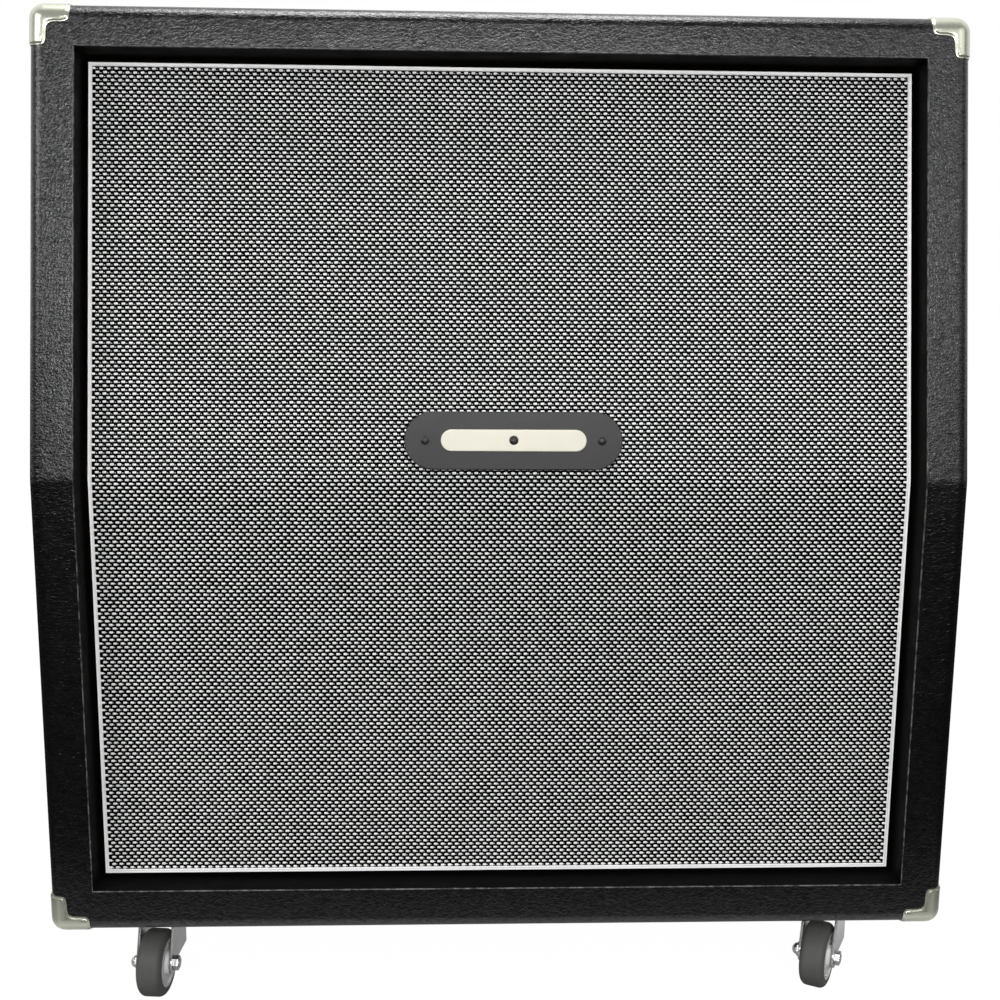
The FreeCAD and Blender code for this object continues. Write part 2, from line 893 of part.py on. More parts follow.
# Back panel with its own vinyl and the window behind the jack plate.
back_half = "inner_half - vinyl - back_gap"
back_low = "base + 2 * vinyl + panel + back_gap"
back_span = "cab_height - 4 * vinyl - 2 * panel - 2 * back_gap"
cover_block = box(
    "cover_block",
    (f"-({back_half})", "back_inner", back_low),
    (f"2 * ({back_half})", "back_panel + vinyl", back_span),
)
board_block = box(
    "board_block",
    (f"-({back_half}) + vinyl", "back_inner", f"{back_low} + vinyl"),
    (f"2 * ({back_half}) - 2 * vinyl", "back_panel", f"{back_span} - 2 * vinyl"),
)
jack_window = box(
    "jack_window",
    ("-jack_window_width / 2", "back_inner - back_panel", "jack_level - jack_window_height / 2"),
    ("jack_window_width", "4 * back_panel", "jack_window_height"),
)
back_tools = fuse("back_tools", [jack_window, back_panel_holes, jack_plate_holes])
keep(cut("board_cut", board_block, back_tools), "back_panel")
keep(cut("cover_cut", cut("cover_skin", cover_block, board_block), back_tools), "back_panel_covering")
keep(
    screws("back_screw_set", back_panel_seats(), "screw_size", "screw_length", "screw_head",
           "screw_head_height"),
    "back_panel_screws",
)

# Jack plate, its two sockets and its screws.
plate_block = box(
    "plate_block",
    ("-jack_plate_width / 2", "back_face", "jack_level - jack_plate_height / 2"),
    ("jack_plate_width", "jack_plate_sheet", "jack_plate_height"),
)
bush_holes = group(
    "bush_holes",
    [
        Part.makeCylinder(
            number("jack_bush / 2 + screw_clearance"),
            number("4 * jack_plate_sheet"),
            point(f"{across} * jack_spread", "back_face - jack_plate_sheet", "jack_level"),
            FreeCAD.Vector(0, 1, 0),
        )
        for across in both_sides.values()
    ],
)
keep(cut("plate_drilled", cut("plate_bushed", plate_block, bush_holes), jack_plate_holes), "jack_plate")
keep(
    screws("jack_screw_set", jack_plate_seats(), "small_screw", "small_screw_length",
           "small_screw_head", "screw_head_height"),
    "jack_plate_screws",
)


def hexagon(radius, height, start, way_axis):
    prism_form = doc.addObject("Part::Prism", "hexagon")
    prism_form.Polygon = 6
    prism_form.setExpression("Circumradius", full(radius))
    prism_form.setExpression("Height", full(height))
    prism_form.Placement.Rotation = axis_turn[way_axis]
    return place(prism_form, *start)


def socket(side):
    across = both_sides[side]
    x = f"{across} * jack_spread"
    outside = "back_face + jack_plate_sheet"
    shell = box(
        side + "_socket_body",
        (f"{x} - jack_body / 2", "back_face - jack_body_depth", "jack_level - jack_body / 2"),
        ("jack_body", "jack_body_depth", "jack_body"),
    )
    bush = cylinder(
        side + "_bush", "jack_bush / 2", "jack_plate_sheet + jack_bush_out", (x, "back_face", "jack_level"), "Y"
    )
    nut = hexagon("jack_nut / 2 / cos(30)", "jack_nut_height", (x, outside, "jack_level"), "Y")
    lugs = [
        box(
            f"{side}_lug_{name}",
            (
                f"{x} - lead_size / 2",
                "back_face - jack_body_depth - jack_lug_length",
                f"jack_level + {up} * jack_lug_rise - lead_size / 2",
            ),
            ("lead_size", "jack_lug_length", "lead_size"),
        )
        for name, up in (("tip", 1), ("sleeve", -1))
    ]
    bore = cylinder(
        side + "_bore",
        "jack_bore / 2",
        "jack_bore_depth",
        (x, f"{outside} + jack_bush_out - jack_bore_depth", "jack_level"),
        "Y",
    )
    return cut(side + "_socket", fuse(side + "_socket_solid", [shell, bush, nut] + lugs), bore)


socket_pair = doc.addObject("Part::Compound", "socket_pair")
socket_pair.Links = [socket(side_name) for side_name in both_sides]
keep(socket_pair, "input_sockets")

# Vinyl over the wood, wrapped into the front recess and round the rear edges.
wood_core = cut("wood_core", cut("wood_less_front", wood_form, front_air_wide), rear_air_wide)
skin = cut("skin", outer_form, wood_core)
skin = cut("skin_front", skin, front_air)
skin = cut("skin_rear", skin, rear_air)
skin = cut("skin_open", skin, handle_cups)
skin = cut("skin_handles", skin, handle_holes)
keep(cut("skin_casters", skin, caster_holes), "vinyl_covering")

# Grille cloth wrapped over the front and edges of the baffle.
cloth_outer = bent_band("cloth_outer", "recess", "pocket", "grille_gap", "grille_half")
cloth_inner = bent_band("cloth_inner", "cloth_back", "pocket + cloth", baffle_margin, baffle_half)
keep(cut("cloth_drilled", cut("cloth_sheet", cloth_outer, cloth_inner), badge_holes), "grille_cloth")

# Piping round the edge of the grille, flat on the cloth and rounded in front.
piping_ring = bent_band("piping_ring", "recess - piping", "recess", "grille_gap", "grille_half")
pocket_through(
    piping_ring,
    "YZ_Plane",
    bent_outline("recess - 2 * piping", "recess + piping", "grille_gap + piping"),
    "2 * (grille_half - piping)",
)


def on_ridge(edge):
    if edge.Length < 2 * number("piping"):
        return False
    for vertex in edge.Vertexes:
        drop = vertex.Point - FreeCAD.Vector(0, number("front"), number("bend"))
        depth = drop.y if vertex.Point.z < number("bend") else drop.dot(slant_in)
        if abs(depth - number("recess - piping")) > number("piping") / 100:
            return False
    return True


round_edges(piping_ring, "piping_round", on_ridge)
keep(piping_ring, "grille_piping")


# Badge place: a plain plate with round ends, a blank raised bar and three screws.
def stadium(name, width, height, thickness):
    bar = box(
        name + "_bar",
        (f"-(({width}) - ({height})) / 2", "0", f"-({height}) / 2"),
        (f"({width}) - ({height})", thickness, height),
    )
    ends = [
        cylinder(
            f"{name}_{side}_end",
            f"({height}) / 2",
            thickness,
            (f"{across} * (({width}) - ({height})) / 2", "0", "0"),
            "Y",
        )
        for side, across in both_sides.items()
    ]
    return fuse(name, [bar] + ends)


def on_slope(piece, x, reach, depth):
    return place(
        piece,
        x,
        f"front + ({reach}) * sin(slant) + ({depth}) * cos(slant)",
        f"bend + ({reach}) * cos(slant) - ({depth}) * sin(slant)",
        side_axis,
        "-slant",
    )


badge_form = stadium("badge_form", "badge_width", "badge_height", "badge_thickness")
on_slope(badge_form, "badge_offset", "badge_rise", "recess - badge_thickness")
keep(cut("badge_drilled", badge_form, badge_holes), "badge_plate")
bar_depth = "recess - badge_thickness - badge_bar_thickness"
bar_form = stadium("bar_form", "badge_bar_width", "badge_bar_height", "badge_bar_thickness")
on_slope(bar_form, "badge_offset", "badge_rise", bar_depth)
middle_head = group(
    "middle_head",
    [
        Part.makeCylinder(
            number("small_screw_head / 2 + screw_clearance"),
            number("2 * badge_bar_thickness"),
            badge_seats()[1][0],
            slant_in * -1,
        )
    ],
)
keep(cut("bar_drilled", bar_form, middle_head), "badge_bar")
keep(
    screws("badge_screw_set", badge_seats(), "small_screw", "small_screw_length", "small_screw_head",
           "screw_head_height"),
    "badge_screws",
)
keep(
    screws("baffle_screw_set", baffle_seats(), "screw_size", "cleat + baffle / 2", "screw_head",
           "screw_head_height"),
    "baffle_screws",
)


# Corner caps: a thin rim and a raised ridge over three rolled edges of each corner.
def corner_bars(name, across, rear, high, length, width):
    over = "2 * (cap_thickness + cap_ridge)"
    long_side = f"({length}) + {over}"
    wide_side = f"({width}) + {over}"
    x_far = f"half_width + {over}"
    bars = []
    for run in ("X", "Y", "Z"):
        size = [long_side if run == axis else wide_side for axis in ("X", "Y", "Z")]
        bar = box(f"{name}_{run}", ("0", "0", "0"), size)
        x = f"{x_far} - ({size[0]})" if across > 0 else f"-({x_far})"
        leaning = high and not rear and run != "Y"
        if leaning:
            edge_y = "front + cab_height * slope - bend_height * slope"
            away = f"({over})"
            place(
                bar,
                x,
                f"{edge_y} - {away} * cos(slant) - (({size[2]}) - {away}) * sin(slant)",
                f"crest + {away} * sin(slant) - (({size[2]}) - {away}) * cos(slant)",
                side_axis,
                "-slant",
            )
        else:
            front_edge = "front + (cab_height - bend_height) * slope" if high else "front"
            y = f"back + {over} - ({size[1]})" if rear else f"{front_edge} - {over}"
            z = f"crest + {over} - ({size[2]})" if high else f"base - {over}"
            place(bar, x, y, z)
        bars.append(bar)
    return bars


rim_form = cabinet_form("rim_form", "cap_thickness")
ridge_form = cabinet_form("ridge_form", "cap_thickness + cap_ridge")
rim_shell = cut("rim_shell", rim_form, outer_form)
ridge_shell = cut("ridge_shell", ridge_form, outer_form)
for end_name, rear in (("front", False), ("rear", True)):
    layers = []
    for layer, shell, length, width in (
        ("rim", rim_shell, "cap_leg", "cap_width"),
        ("ridge", ridge_shell, "cap_leg - cap_rim", "cap_width - cap_rim"),
    ):
        bars = []
        for side_name, across in both_sides.items():
            for level, high in (("lower", False), ("upper", True)):
                name = f"{end_name}_{level}_{side_name}_{layer}"
                bars += corner_bars(name, across, rear, high, length, width)
        layers.append(common(f"{end_name}_{layer}", shell, fuse(f"{end_name}_{layer}_bars", bars)))
    keep(fuse(end_name + "_cap_set", layers), end_name + "_corner_caps")


# Speakers, each turned about its own axis with the baffle face at zero depth.
basket_low = "gasket + basket_sheet"
basket_outline = [
    ("speaker_size / 2", "gasket"),
    ("speaker_size / 2", basket_low),
    ("speaker_cutout / 2 + basket_sheet", basket_low),
    ("basket_seat / 2", "basket_depth"),
    ("coil_size / 2 + 2 * coil_gap", "basket_depth"),
    ("coil_size / 2 + 2 * coil_gap", "basket_depth - basket_sheet"),
    ("basket_seat / 2 - basket_sheet", "basket_depth - basket_sheet"),
    ("speaker_cutout / 2 - basket_sheet", "gasket"),
]
surround_outline = [
    ("speaker_size / 2", "0"),
    ("speaker_size / 2", "gasket"),
    ("surround_inner / 2 + cone_gap", "gasket"),
    ("surround_inner / 2 + cone_gap", "gasket - cone_wall"),
    ("speaker_cutout / 2", "gasket - cone_wall"),
    ("speaker_cutout / 2", "0"),
]
neck = "coil_size / 2"
cone_outline = [
    ("surround_inner / 2", "gasket - cone_wall"),
    ("surround_inner / 2", "gasket"),
    (f"{neck} + cone_wall", "gasket + cone_rise"),
    (f"{neck} + cone_wall", "gasket + cone_rise + coil_length"),
    (neck, "gasket + cone_rise + coil_length"),
    (neck, "gasket + cone_rise"),
    ("0", "gasket + cone_rise - coil_size / 4"),
    ("0", "gasket + cone_rise - coil_size / 4 - cone_wall"),
    (neck, "gasket + cone_rise - cone_wall"),
    ("surround_inner / 2 - cone_wall", "gasket - cone_wall"),
]
magnet_front = "basket_depth + magnet_plate"
magnet_back = "basket_depth + magnet_plate + magnet_ring"
magnet_outline = [
    (f"{neck} + cone_wall + coil_gap", "basket_depth"),
    ("magnet_size / 2", "basket_depth"),
    ("magnet_size / 2", f"{magnet_back} + pole_plate"),
    ("0", f"{magnet_back} + pole_plate"),
    ("0", "basket_depth"),
    (f"{neck} - coil_gap", "basket_depth"),
    (f"{neck} - coil_gap", magnet_back),
    ("magnet_hole / 2", magnet_back),
    ("magnet_hole / 2", magnet_front),
    (f"{neck} + cone_wall + coil_gap", magnet_front),
]


def lead_start(frame):
    """The face of the terminal block that the lead leaves from, towards the middle."""
    _, _, _, angle, across = frame
    rise = number("jack_lug_rise") * (-1 if number(angle) == 0 else 1)
    local = FreeCAD.Vector(-across * number("terminal_reach"), number("terminal_depth"), rise)
    return speaker_seat(frame).multVec(local)


def basket(name, frame):
    x, y, z, angle, across = frame
    dish = turned(name + "_dish", "XY_Plane", "V_Axis", basket_outline)
    count = int(number("basket_windows"))
    window_depth = f"({basket_low} + basket_depth) / 2"
    windows = []
    for index in range(count):
        window = doc.addObject("Part::Cylinder", f"{name}_window")
        window.setExpression("Radius", full("basket_window / 2"))
        window.setExpression("Height", full("speaker_size / 2"))
        turn = FreeCAD.Rotation(FreeCAD.Vector(0, 1, 0), 360 * index / count)
        window.Placement.Rotation = turn
        windows.append(place(window, "0", window_depth, "0"))
    frame_part = cut(name + "_frame", dish, fuse(name + "_windows", windows))
    lug_sign = -1 if number(angle) == 0 else 1
    start_x = "-terminal_reach" if across > 0 else "terminal_root"
    block = box(
        name + "_terminal",
        (start_x, "terminal_depth - terminal / 2", f"{lug_sign} * jack_lug_rise - terminal / 2"),
        ("terminal_stand", "terminal", "terminal"),
    )
    whole = fuse(name + "_basket", [frame_part, block])
    place(whole, x, y, z, side_axis, angle)
    return cut(name + "_basket_drilled", whole, bolt_tool_for[name])


bolt_tool_for = {
    name: upper_bolt_holes if name.startswith("upper") else lower_bolt_holes for name in all_bolt_seats
}
baskets = []
surrounds = []
magnets = []
for name, frame in speaker_frames().items():
    x, y, z, angle, _ = frame
    baskets.append(basket(name, frame))
    ring = turned(name + "_ring", "XY_Plane", "V_Axis", surround_outline)
    place(ring, x, y, z, side_axis, angle)
    surrounds.append(cut(name + "_surround", ring, bolt_tool_for[name]))
    magnet = turned(name + "_magnet", "XY_Plane", "V_Axis", magnet_outline)
    magnets.append(place(magnet, x, y, z, side_axis, angle))
    cone = turned(name + "_cone_form", "XY_Plane", "V_Axis", cone_outline)
    keep(place(cone, x, y, z, side_axis, angle), name + "_cone")
for label, members in (
    ("speaker_baskets", baskets),
    ("speaker_surrounds", surrounds),
    ("speaker_magnets", magnets),
):
    gathered = doc.addObject("Part::Compound", label + "_set")
    gathered.Links = members
    keep(gathered, label)
keep(
    screws("bolt_set", sum(all_bolt_seats.values(), []), "bolt_size", bolt_reach, "bolt_head",
           "bolt_head_height"),
    "speaker_bolts",
)


# Leads from each terminal block to a lug of a socket, straight runs joined by round bends.
def rounded_path(corners, radius):
    edges = []
    last = corners[0]
    for before, corner, after in zip(corners, corners[1:], corners[2:]):
        come = (before - corner).normalize()
        leave = (after - corner).normalize()
        half = come.getAngle(leave) / 2
        reach = radius * cos(half) / sin(half)
        first = corner + come * reach
        final = corner + leave * reach
        bisector = (come + leave).normalize()
        middle = corner + bisector * (radius / sin(half) - radius)
        edges.append(Part.LineSegment(last, first).toShape())
        edges.append(Part.Arc(first, middle, final).toShape())
        last = final
    edges.append(Part.LineSegment(last, corners[-1]).toShape())
    return Part.Wire(edges)


def lead(frame):
    _, _, _, angle, across = frame
    start = lead_start(frame)
    upper = number(angle) != 0
    lug_y = number("back_face - jack_body_depth - jack_lug_length")
    lug_z = number("jack_level") + number("jack_lug_rise") * (1 if upper else -1)
    x = across * number("jack_spread")
    corners = [start, FreeCAD.Vector(x, start.y, start.z)]
    if upper:
        drop_y = number("back_face - jack_body_depth - jack_lug_length - lead_drop_depth")
        corners.append(FreeCAD.Vector(x, drop_y, start.z))
        corners.append(FreeCAD.Vector(x, drop_y, lug_z))
    corners.append(FreeCAD.Vector(x, lug_y, lug_z))
    path = rounded_path(corners, number("lead_bend"))
    radius = number("lead_size") / 2
    section = Part.Wire(Part.makeCircle(radius, corners[0], corners[1] - corners[0]))
    tube = path.makePipeShell([section], True, False)
    expected = pi * radius ** 2 * path.Length
    print(f"lead length {path.Length:.1f} volume ratio {tube.Volume / expected:.5f}")
    return tube


keep(group("lead_set", [lead(frame) for frame in speaker_frames().values()]), "speaker_leads")

# Casters: a fixed plate with raceway and kingpin, a swivelling fork, and a wheel on its axle.
leg_outline = [
    ("-fork_toe", "crown_top"),
    ("fork_shoulder / 2", "crown_top"),
    ("fork_shoulder / 2", "crown_bottom - fork_drop"),
    ("axle_boss / 2 - trail", "wheel_radius"),
    ("-axle_boss / 2 - trail", "wheel_radius"),
]
core_outline = [
    ("-hub_width / 2", "axle / 2 + running_fit"),
    ("hub_width / 2", "axle / 2 + running_fit"),
    ("hub_width / 2", "hub_size / 2"),
    ("web_width / 2", "hub_size / 2"),
    ("web_width / 2", "core_size / 2 - core_rim"),
    ("tread_width / 2", "core_size / 2 - core_rim"),
    ("tread_width / 2", "core_size / 2"),
    ("-tread_width / 2", "core_size / 2"),
    ("-tread_width / 2", "core_size / 2 - core_rim"),
    ("-web_width / 2", "core_size / 2 - core_rim"),
    ("-web_width / 2", "hub_size / 2"),
    ("-hub_width / 2", "hub_size / 2"),
]
tyre_outline = [
    ("-tread_width / 2", "core_size / 2"),
    ("tread_width / 2", "core_size / 2"),
    ("tread_width / 2", "wheel_radius"),
    ("-tread_width / 2", "wheel_radius"),
]


def at_wheel(piece, x, y, angle):
    return place(
        piece,
        f"{x} - trail * sin({angle})",
        f"{y} - trail * cos({angle})",
        "wheel_radius",
        upright,
        f"-{angle}",
    )


def fork(name):
    outer = "fork_gap + 2 * fork_sheet"
    legs = prism(name + "_legs", "YZ_Plane", leg_outline, outer)
    boss = cylinder(
        name + "_boss", "axle_boss / 2", outer, (f"-({outer}) / 2", "-trail", "wheel_radius"), "X"
    )
    reach = "trail + wheel_radius"
    gap = box(
        name + "_gap",
        ("-fork_gap / 2", f"-2 * ({reach})", "0"),
        ("fork_gap", f"4 * ({reach})", "crown_bottom"),
    )
    open_legs = cut(name + "_open_legs", fuse(name + "_bossed_legs", [legs, boss]), gap)
    crown = cylinder(name + "_crown", "fork_crown / 2", "fork_crown_sheet", ("0", "0", "crown_bottom"))
    pin_hole = cylinder(
        name + "_pin_hole", "kingpin / 2 + running_fit", "2 * fork_crown_sheet",
        ("0", "0", "crown_bottom - fork_crown_sheet / 2"),
    )
    axle_hole = cylinder(
        name + "_axle_hole", "axle / 2 + screw_clearance", f"2 * ({outer})",
        (f"-({outer})", "-trail", "wheel_radius"), "X",
    )
    body = cut(name + "_pinned", fuse(name + "_crowned", [open_legs, crown]), pin_hole)
    return cut(name + "_fork", body, axle_hole)


def axle_bolt(name):
    outer = "fork_gap / 2 + fork_sheet"
    head_radius = "axle_head / 2 / cos(30)"
    shank = cylinder(
        name + "_shank", "axle / 2", f"2 * ({outer}) + axle_nut_height", (f"-({outer})", "0", "0"), "X"
    )
    head = hexagon(head_radius, "axle_head_height", (f"-({outer}) - axle_head_height", "0", "0"), "X")
    nut = hexagon(head_radius, "axle_nut_height", (outer, "0", "0"), "X")
    return fuse(name + "_axle", [shank, head, nut])


def caster_plate(name, x, y):
    sheet_block = box(
        name + "_sheet",
        (f"{x} - caster_plate_width / 2", f"{y} - caster_plate_depth / 2", "base - caster_plate_sheet"),
        ("caster_plate_width", "caster_plate_depth", "caster_plate_sheet"),
    )
    race = cylinder(
        name + "_race", "race_size / 2", "race_height", (x, y, "base - caster_plate_sheet - race_height")
    )
    pin_end = "crown_bottom - swivel_gap"
    pin = cylinder(name + "_pin", "kingpin / 2", f"base - caster_plate_sheet - ({pin_end})", (x, y, pin_end))
    rivet = cylinder(
        name + "_rivet", "kingpin_head / 2", "kingpin_head_height",
        (x, y, f"{pin_end} - kingpin_head_height"),
    )
    solid = fuse(name + "_plate_solid", [sheet_block, race, pin, rivet])
    return cut(name + "_plate", solid, caster_holes)


def is_tread_edge(edge):
    return abs(edge.BoundBox.YLength - number("wheel_size")) < number("tread_round") / 2


plates = []
for name, (x, y, angle) in caster_centres().items():
    plates.append(caster_plate(name, x, y))
    keep(place(fork(name), x, y, "0", upright, f"-{angle}"), name + "_fork")
    core = turned(name + "_core", "XY_Plane", "H_Axis", core_outline)
    keep(at_wheel(core, x, y, angle), name + "_wheel_core")
    tyre = turned(name + "_tyre_form", "XY_Plane", "H_Axis", tyre_outline)
    round_edges(tyre, "tread_round", is_tread_edge)
    keep(at_wheel(tyre, x, y, angle), name + "_tyre")
    keep(at_wheel(axle_bolt(name), x, y, angle), name + "_axle_bolt")
plate_group = doc.addObject("Part::Compound", "plate_group")
plate_group.Links = plates
keep(plate_group, "caster_plates")
keep(
    screws("caster_screw_set", caster_seats(), "screw_size", "screw_length", "screw_head",
           "screw_head_height"),
    "caster_screws",
)

# Build, check every object, and write one file for each sub-part.
doc.recompute()
for item in doc.Objects:
    bad = [state for state in item.State if state in ("Invalid", "Error")]
    if bad:
        raise RuntimeError(f"{item.Label} is {bad}")
for piece in sub_parts:
    if piece.Shape.isNull() or not piece.Shape.isValid() or not piece.Shape.Solids:
        raise RuntimeError(f"{piece.Label} has no sound shape")
os.makedirs("parts", exist_ok=True)
for piece in sub_parts:
    piece.Shape.exportStep(f"parts/{piece.Label}.step")
    print(f"{piece.Label}: {len(piece.Shape.Solids)} solids, {piece.Shape.Volume / 1000:.1f} cm3")
print(len(sub_parts), "sub-parts")
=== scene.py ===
import json
from math import atan, copysign, cos, pi, radians, sin, tan

import bmesh
import bpy
from mathutils import Matrix, Vector
from mathutils.bvhtree import BVHTree


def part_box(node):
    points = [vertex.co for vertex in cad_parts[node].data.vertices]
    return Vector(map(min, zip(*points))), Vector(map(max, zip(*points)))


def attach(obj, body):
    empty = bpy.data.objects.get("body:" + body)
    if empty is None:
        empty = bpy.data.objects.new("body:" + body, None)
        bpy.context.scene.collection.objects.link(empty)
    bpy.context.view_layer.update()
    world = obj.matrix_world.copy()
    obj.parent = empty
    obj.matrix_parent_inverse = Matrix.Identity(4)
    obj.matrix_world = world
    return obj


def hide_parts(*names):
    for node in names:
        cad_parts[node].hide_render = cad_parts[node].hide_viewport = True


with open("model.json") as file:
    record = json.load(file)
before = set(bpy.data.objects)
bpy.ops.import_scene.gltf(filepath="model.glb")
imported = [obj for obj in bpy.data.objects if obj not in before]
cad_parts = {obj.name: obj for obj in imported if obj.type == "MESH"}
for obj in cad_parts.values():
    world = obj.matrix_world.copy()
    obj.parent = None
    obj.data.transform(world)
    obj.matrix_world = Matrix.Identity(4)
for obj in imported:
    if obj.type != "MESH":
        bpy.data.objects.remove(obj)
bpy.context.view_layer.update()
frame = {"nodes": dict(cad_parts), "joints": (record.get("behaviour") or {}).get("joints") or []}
nodes = frame["nodes"]
joints = {joint["name"]: joint for joint in frame["joints"]}
print("frame loaded:", len(nodes), "nodes")

tiny = 1e-5
weld = 1e-6     # points nearer than this become one
casters = ("front_left", "front_right", "rear_left", "rear_right")
speakers = ("lower_left", "lower_right", "upper_left", "upper_right")

# the covered box and the bend in its front, in metres
form = {
    "bendHeight": 0.388,    # from the base to the bend
    "setBack": 0.066,       # how far the top of the front leans back
    "edgeRound": 0.0115,    # rolled outer edges
    "bendRound": 0.040,
    "borderSide": 0.037,
    "borderTop": 0.0335,
    "borderBottom": 0.0375,
    "recess": 0.026,        # from the border to the face of the cloth
    "pocket": 0.0452,       # from the border to the back of the baffle
    "grilleGap": 0.0046,
}
skinLow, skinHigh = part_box("vinyl_covering")
front, back = skinLow.y, skinHigh.y
base, crest = skinLow.z, skinHigh.z
halfWidth = skinHigh.x
bend = base + form["bendHeight"]
slant = atan(form["setBack"] / (crest - bend))
halfTan = tan(slant / 2)
plainUp = Vector((0, 0, 1))
plainIn = Vector((0, 1, 0))
slantUp = Vector((0, sin(slant), cos(slant)))
slantIn = Vector((0, cos(slant), -sin(slant)))
across = Vector((1, 0, 0))
bendPoint = Vector((0, front, bend))
mitre = (plainUp + slantUp).normalized()
openingHalf = halfWidth - form["borderSide"]
openingLow = base + form["borderBottom"]
openingReach = (crest - form["borderTop"] - bend) / cos(slant)
grilleHalf = openingHalf - form["grilleGap"]
grilleLow = openingLow + form["grilleGap"]
grilleReach = openingReach - form["grilleGap"]


def lowerPoint(x, height, depth=0.0):
    return Vector((x, front + depth, height))


def bendAt(x, depth=0.0):
    return Vector((x, front + depth, bend - depth * halfTan))


def upperPoint(x, reach, depth=0.0):
    return Vector((x, front, bend)) + slantUp * reach + slantIn * depth


def inBend(vert):
    return abs((vert.co - bendPoint).dot(mitre)) < tiny


# moves front points square into their own half of the bent front
def pushIn(verts, depth):
    for vert in verts:
        height = (vert.co - bendPoint).dot(mitre)
        if abs(height) < tiny:
            vert.co += Vector((0, depth, -depth * halfTan))
        elif height < 0:
            vert.co += plainIn * depth
        else:
            vert.co += slantIn * depth


def vertsOf(made):
    return [item for item in made["geom"] if isinstance(item, bmesh.types.BMVert)]


def facesOf(made):
    return [item for item in made["geom"] if isinstance(item, bmesh.types.BMFace)]


def roundEdges(bm, edges, offset, segments=3):
    return bmesh.ops.bevel(
        bm, geom=list(edges), offset=offset, offset_type="OFFSET", segments=segments,
        profile=0.5, affect="EDGES", material=-1,
    )


def crispEdges(bm, degrees):
    return [
        edge for edge in bm.edges
        if len(edge.link_faces) == 2 and edge.calc_face_angle() > radians(degrees)
    ]


# the edges and points go in too, or the old faces would stay inside
def extrudeRegion(bm, faces):
    edges = {edge for face in faces for edge in face.edges}
    verts = {vert for face in faces for vert in face.verts}
    return bmesh.ops.extrude_face_region(bm, geom=[*faces, *edges, *verts])


def extrudeFaces(bm, faces, step):
    made = extrudeRegion(bm, faces)
    bmesh.ops.translate(bm, verts=vertsOf(made), vec=step)
    return made


def flatFacing(bm, direction):
    facing = [face for face in bm.faces if face.normal.dot(direction) > 1 - tiny]
    return max(facing, key=lambda face: face.calc_area())


# a frame whose z looks out of a surface and whose y runs up it
def seatFrame(place, out, up):
    side = up.cross(out).normalized()
    turned = Matrix((side, up, out)).transposed().to_4x4()
    return Matrix.Translation(place) @ turned


def addPiece(name, bm, materials, body="cabinet", replaces=(), sharp=40, clean=False):
    if clean:
        bmesh.ops.remove_doubles(bm, verts=bm.verts[:], dist=weld)
        bmesh.ops.recalc_face_normals(bm, faces=bm.faces[:])
    mesh = bpy.data.meshes.new(name)
    bm.to_mesh(mesh)
    bm.free()
    mesh.shade_smooth()
    mesh.set_sharp_from_angle(angle=radians(sharp))
    for material in materials:
        mesh.materials.append(material)
    piece = bpy.data.objects.new(name, mesh)
    bpy.context.scene.collection.objects.link(piece)
    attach(piece, body)
    if replaces:
        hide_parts(*replaces)
    return piece


def weightNormals(piece):
    piece.modifiers.new("even shading", "WEIGHTED_NORMAL").keep_sharp = True


def thicken(piece, name, thickness):
    thick = piece.modifiers.new(name, "SOLIDIFY")
    thick.thickness = thickness
    thick.offset = -1.0


# material helpers
def addNode(tree, kind, sockets=None, **settings):
    node = tree.nodes.new("ShaderNode" + kind)
    for name, value in settings.items():
        setattr(node, name, value)
    for socket, value in (sockets or {}).items():
        if isinstance(value, bpy.types.NodeSocket):
            tree.links.new(value, node.inputs[socket])
        else:
            node.inputs[socket].default_value = value
    return node


def startMaterial(name, **sockets):
    material = bpy.data.materials.new(name)
    material.use_nodes = True
    shader = material.node_tree.nodes["Principled BSDF"]
    for socket, value in sockets.items():
        shader.inputs[socket.replace("_", " ")].default_value = value
    return material, material.node_tree, shader


def surfacePlace(tree, scale=(1, 1, 1), turn=(0, 0, 0)):
    coords = addNode(tree, "TexCoord")
    mapping = addNode(
        tree, "Mapping", {"Vector": coords.outputs["Object"], "Scale": scale, "Rotation": turn}
    )
    return mapping.outputs["Vector"]


def noise(tree, place, scale, detail=3.0, roughness=0.5, distortion=0.0):
    sockets = {
        "Vector": place, "Scale": scale,
        "Detail": detail, "Roughness": roughness, "Distortion": distortion,
    }
    return addNode(tree, "TexNoise", sockets).outputs["Fac"]


def ramp(tree, factor, stops):
    node = addNode(tree, "ValToRGB", {"Fac": factor})
    elements = node.color_ramp.elements
    while len(elements) < len(stops):
        elements.new(0.5)
    for element, (position, colour) in zip(elements, stops):
        element.position = position
        element.color = (*colour, 1.0)
    return node.outputs["Color"]


def spread(tree, factor, low, high, fromLow=0.3, fromHigh=0.7):
    node = addNode(
        tree, "MapRange",
        {"Value": factor, "From Min": fromLow, "From Max": fromHigh, "To Min": low, "To Max": high},
    )
    return node.outputs["Result"]


def combine(tree, operation, first, second):
    return addNode(tree, "Math", {0: first, 1: second}, operation=operation).outputs["Value"]


def bump(tree, height, distance, strength=1.0, below=None):
    sockets = {"Height": height, "Distance": distance, "Strength": strength}
    if below is not None:
        sockets["Normal"] = below
    return addNode(tree, "Bump", sockets).outputs["Normal"]


def shade(colour, factor):
    return tuple(min(1.0, part * factor) for part in colour)


plainLook = {
    "cloud": {"scale": 38.0, "detail": 5.0, "roughness": 0.6},
    "reach": (0.3, 0.7),    # of the clouds, from dark to light
    "wear": (0.85, 1.2),    # of the roughness, across the clouds
}


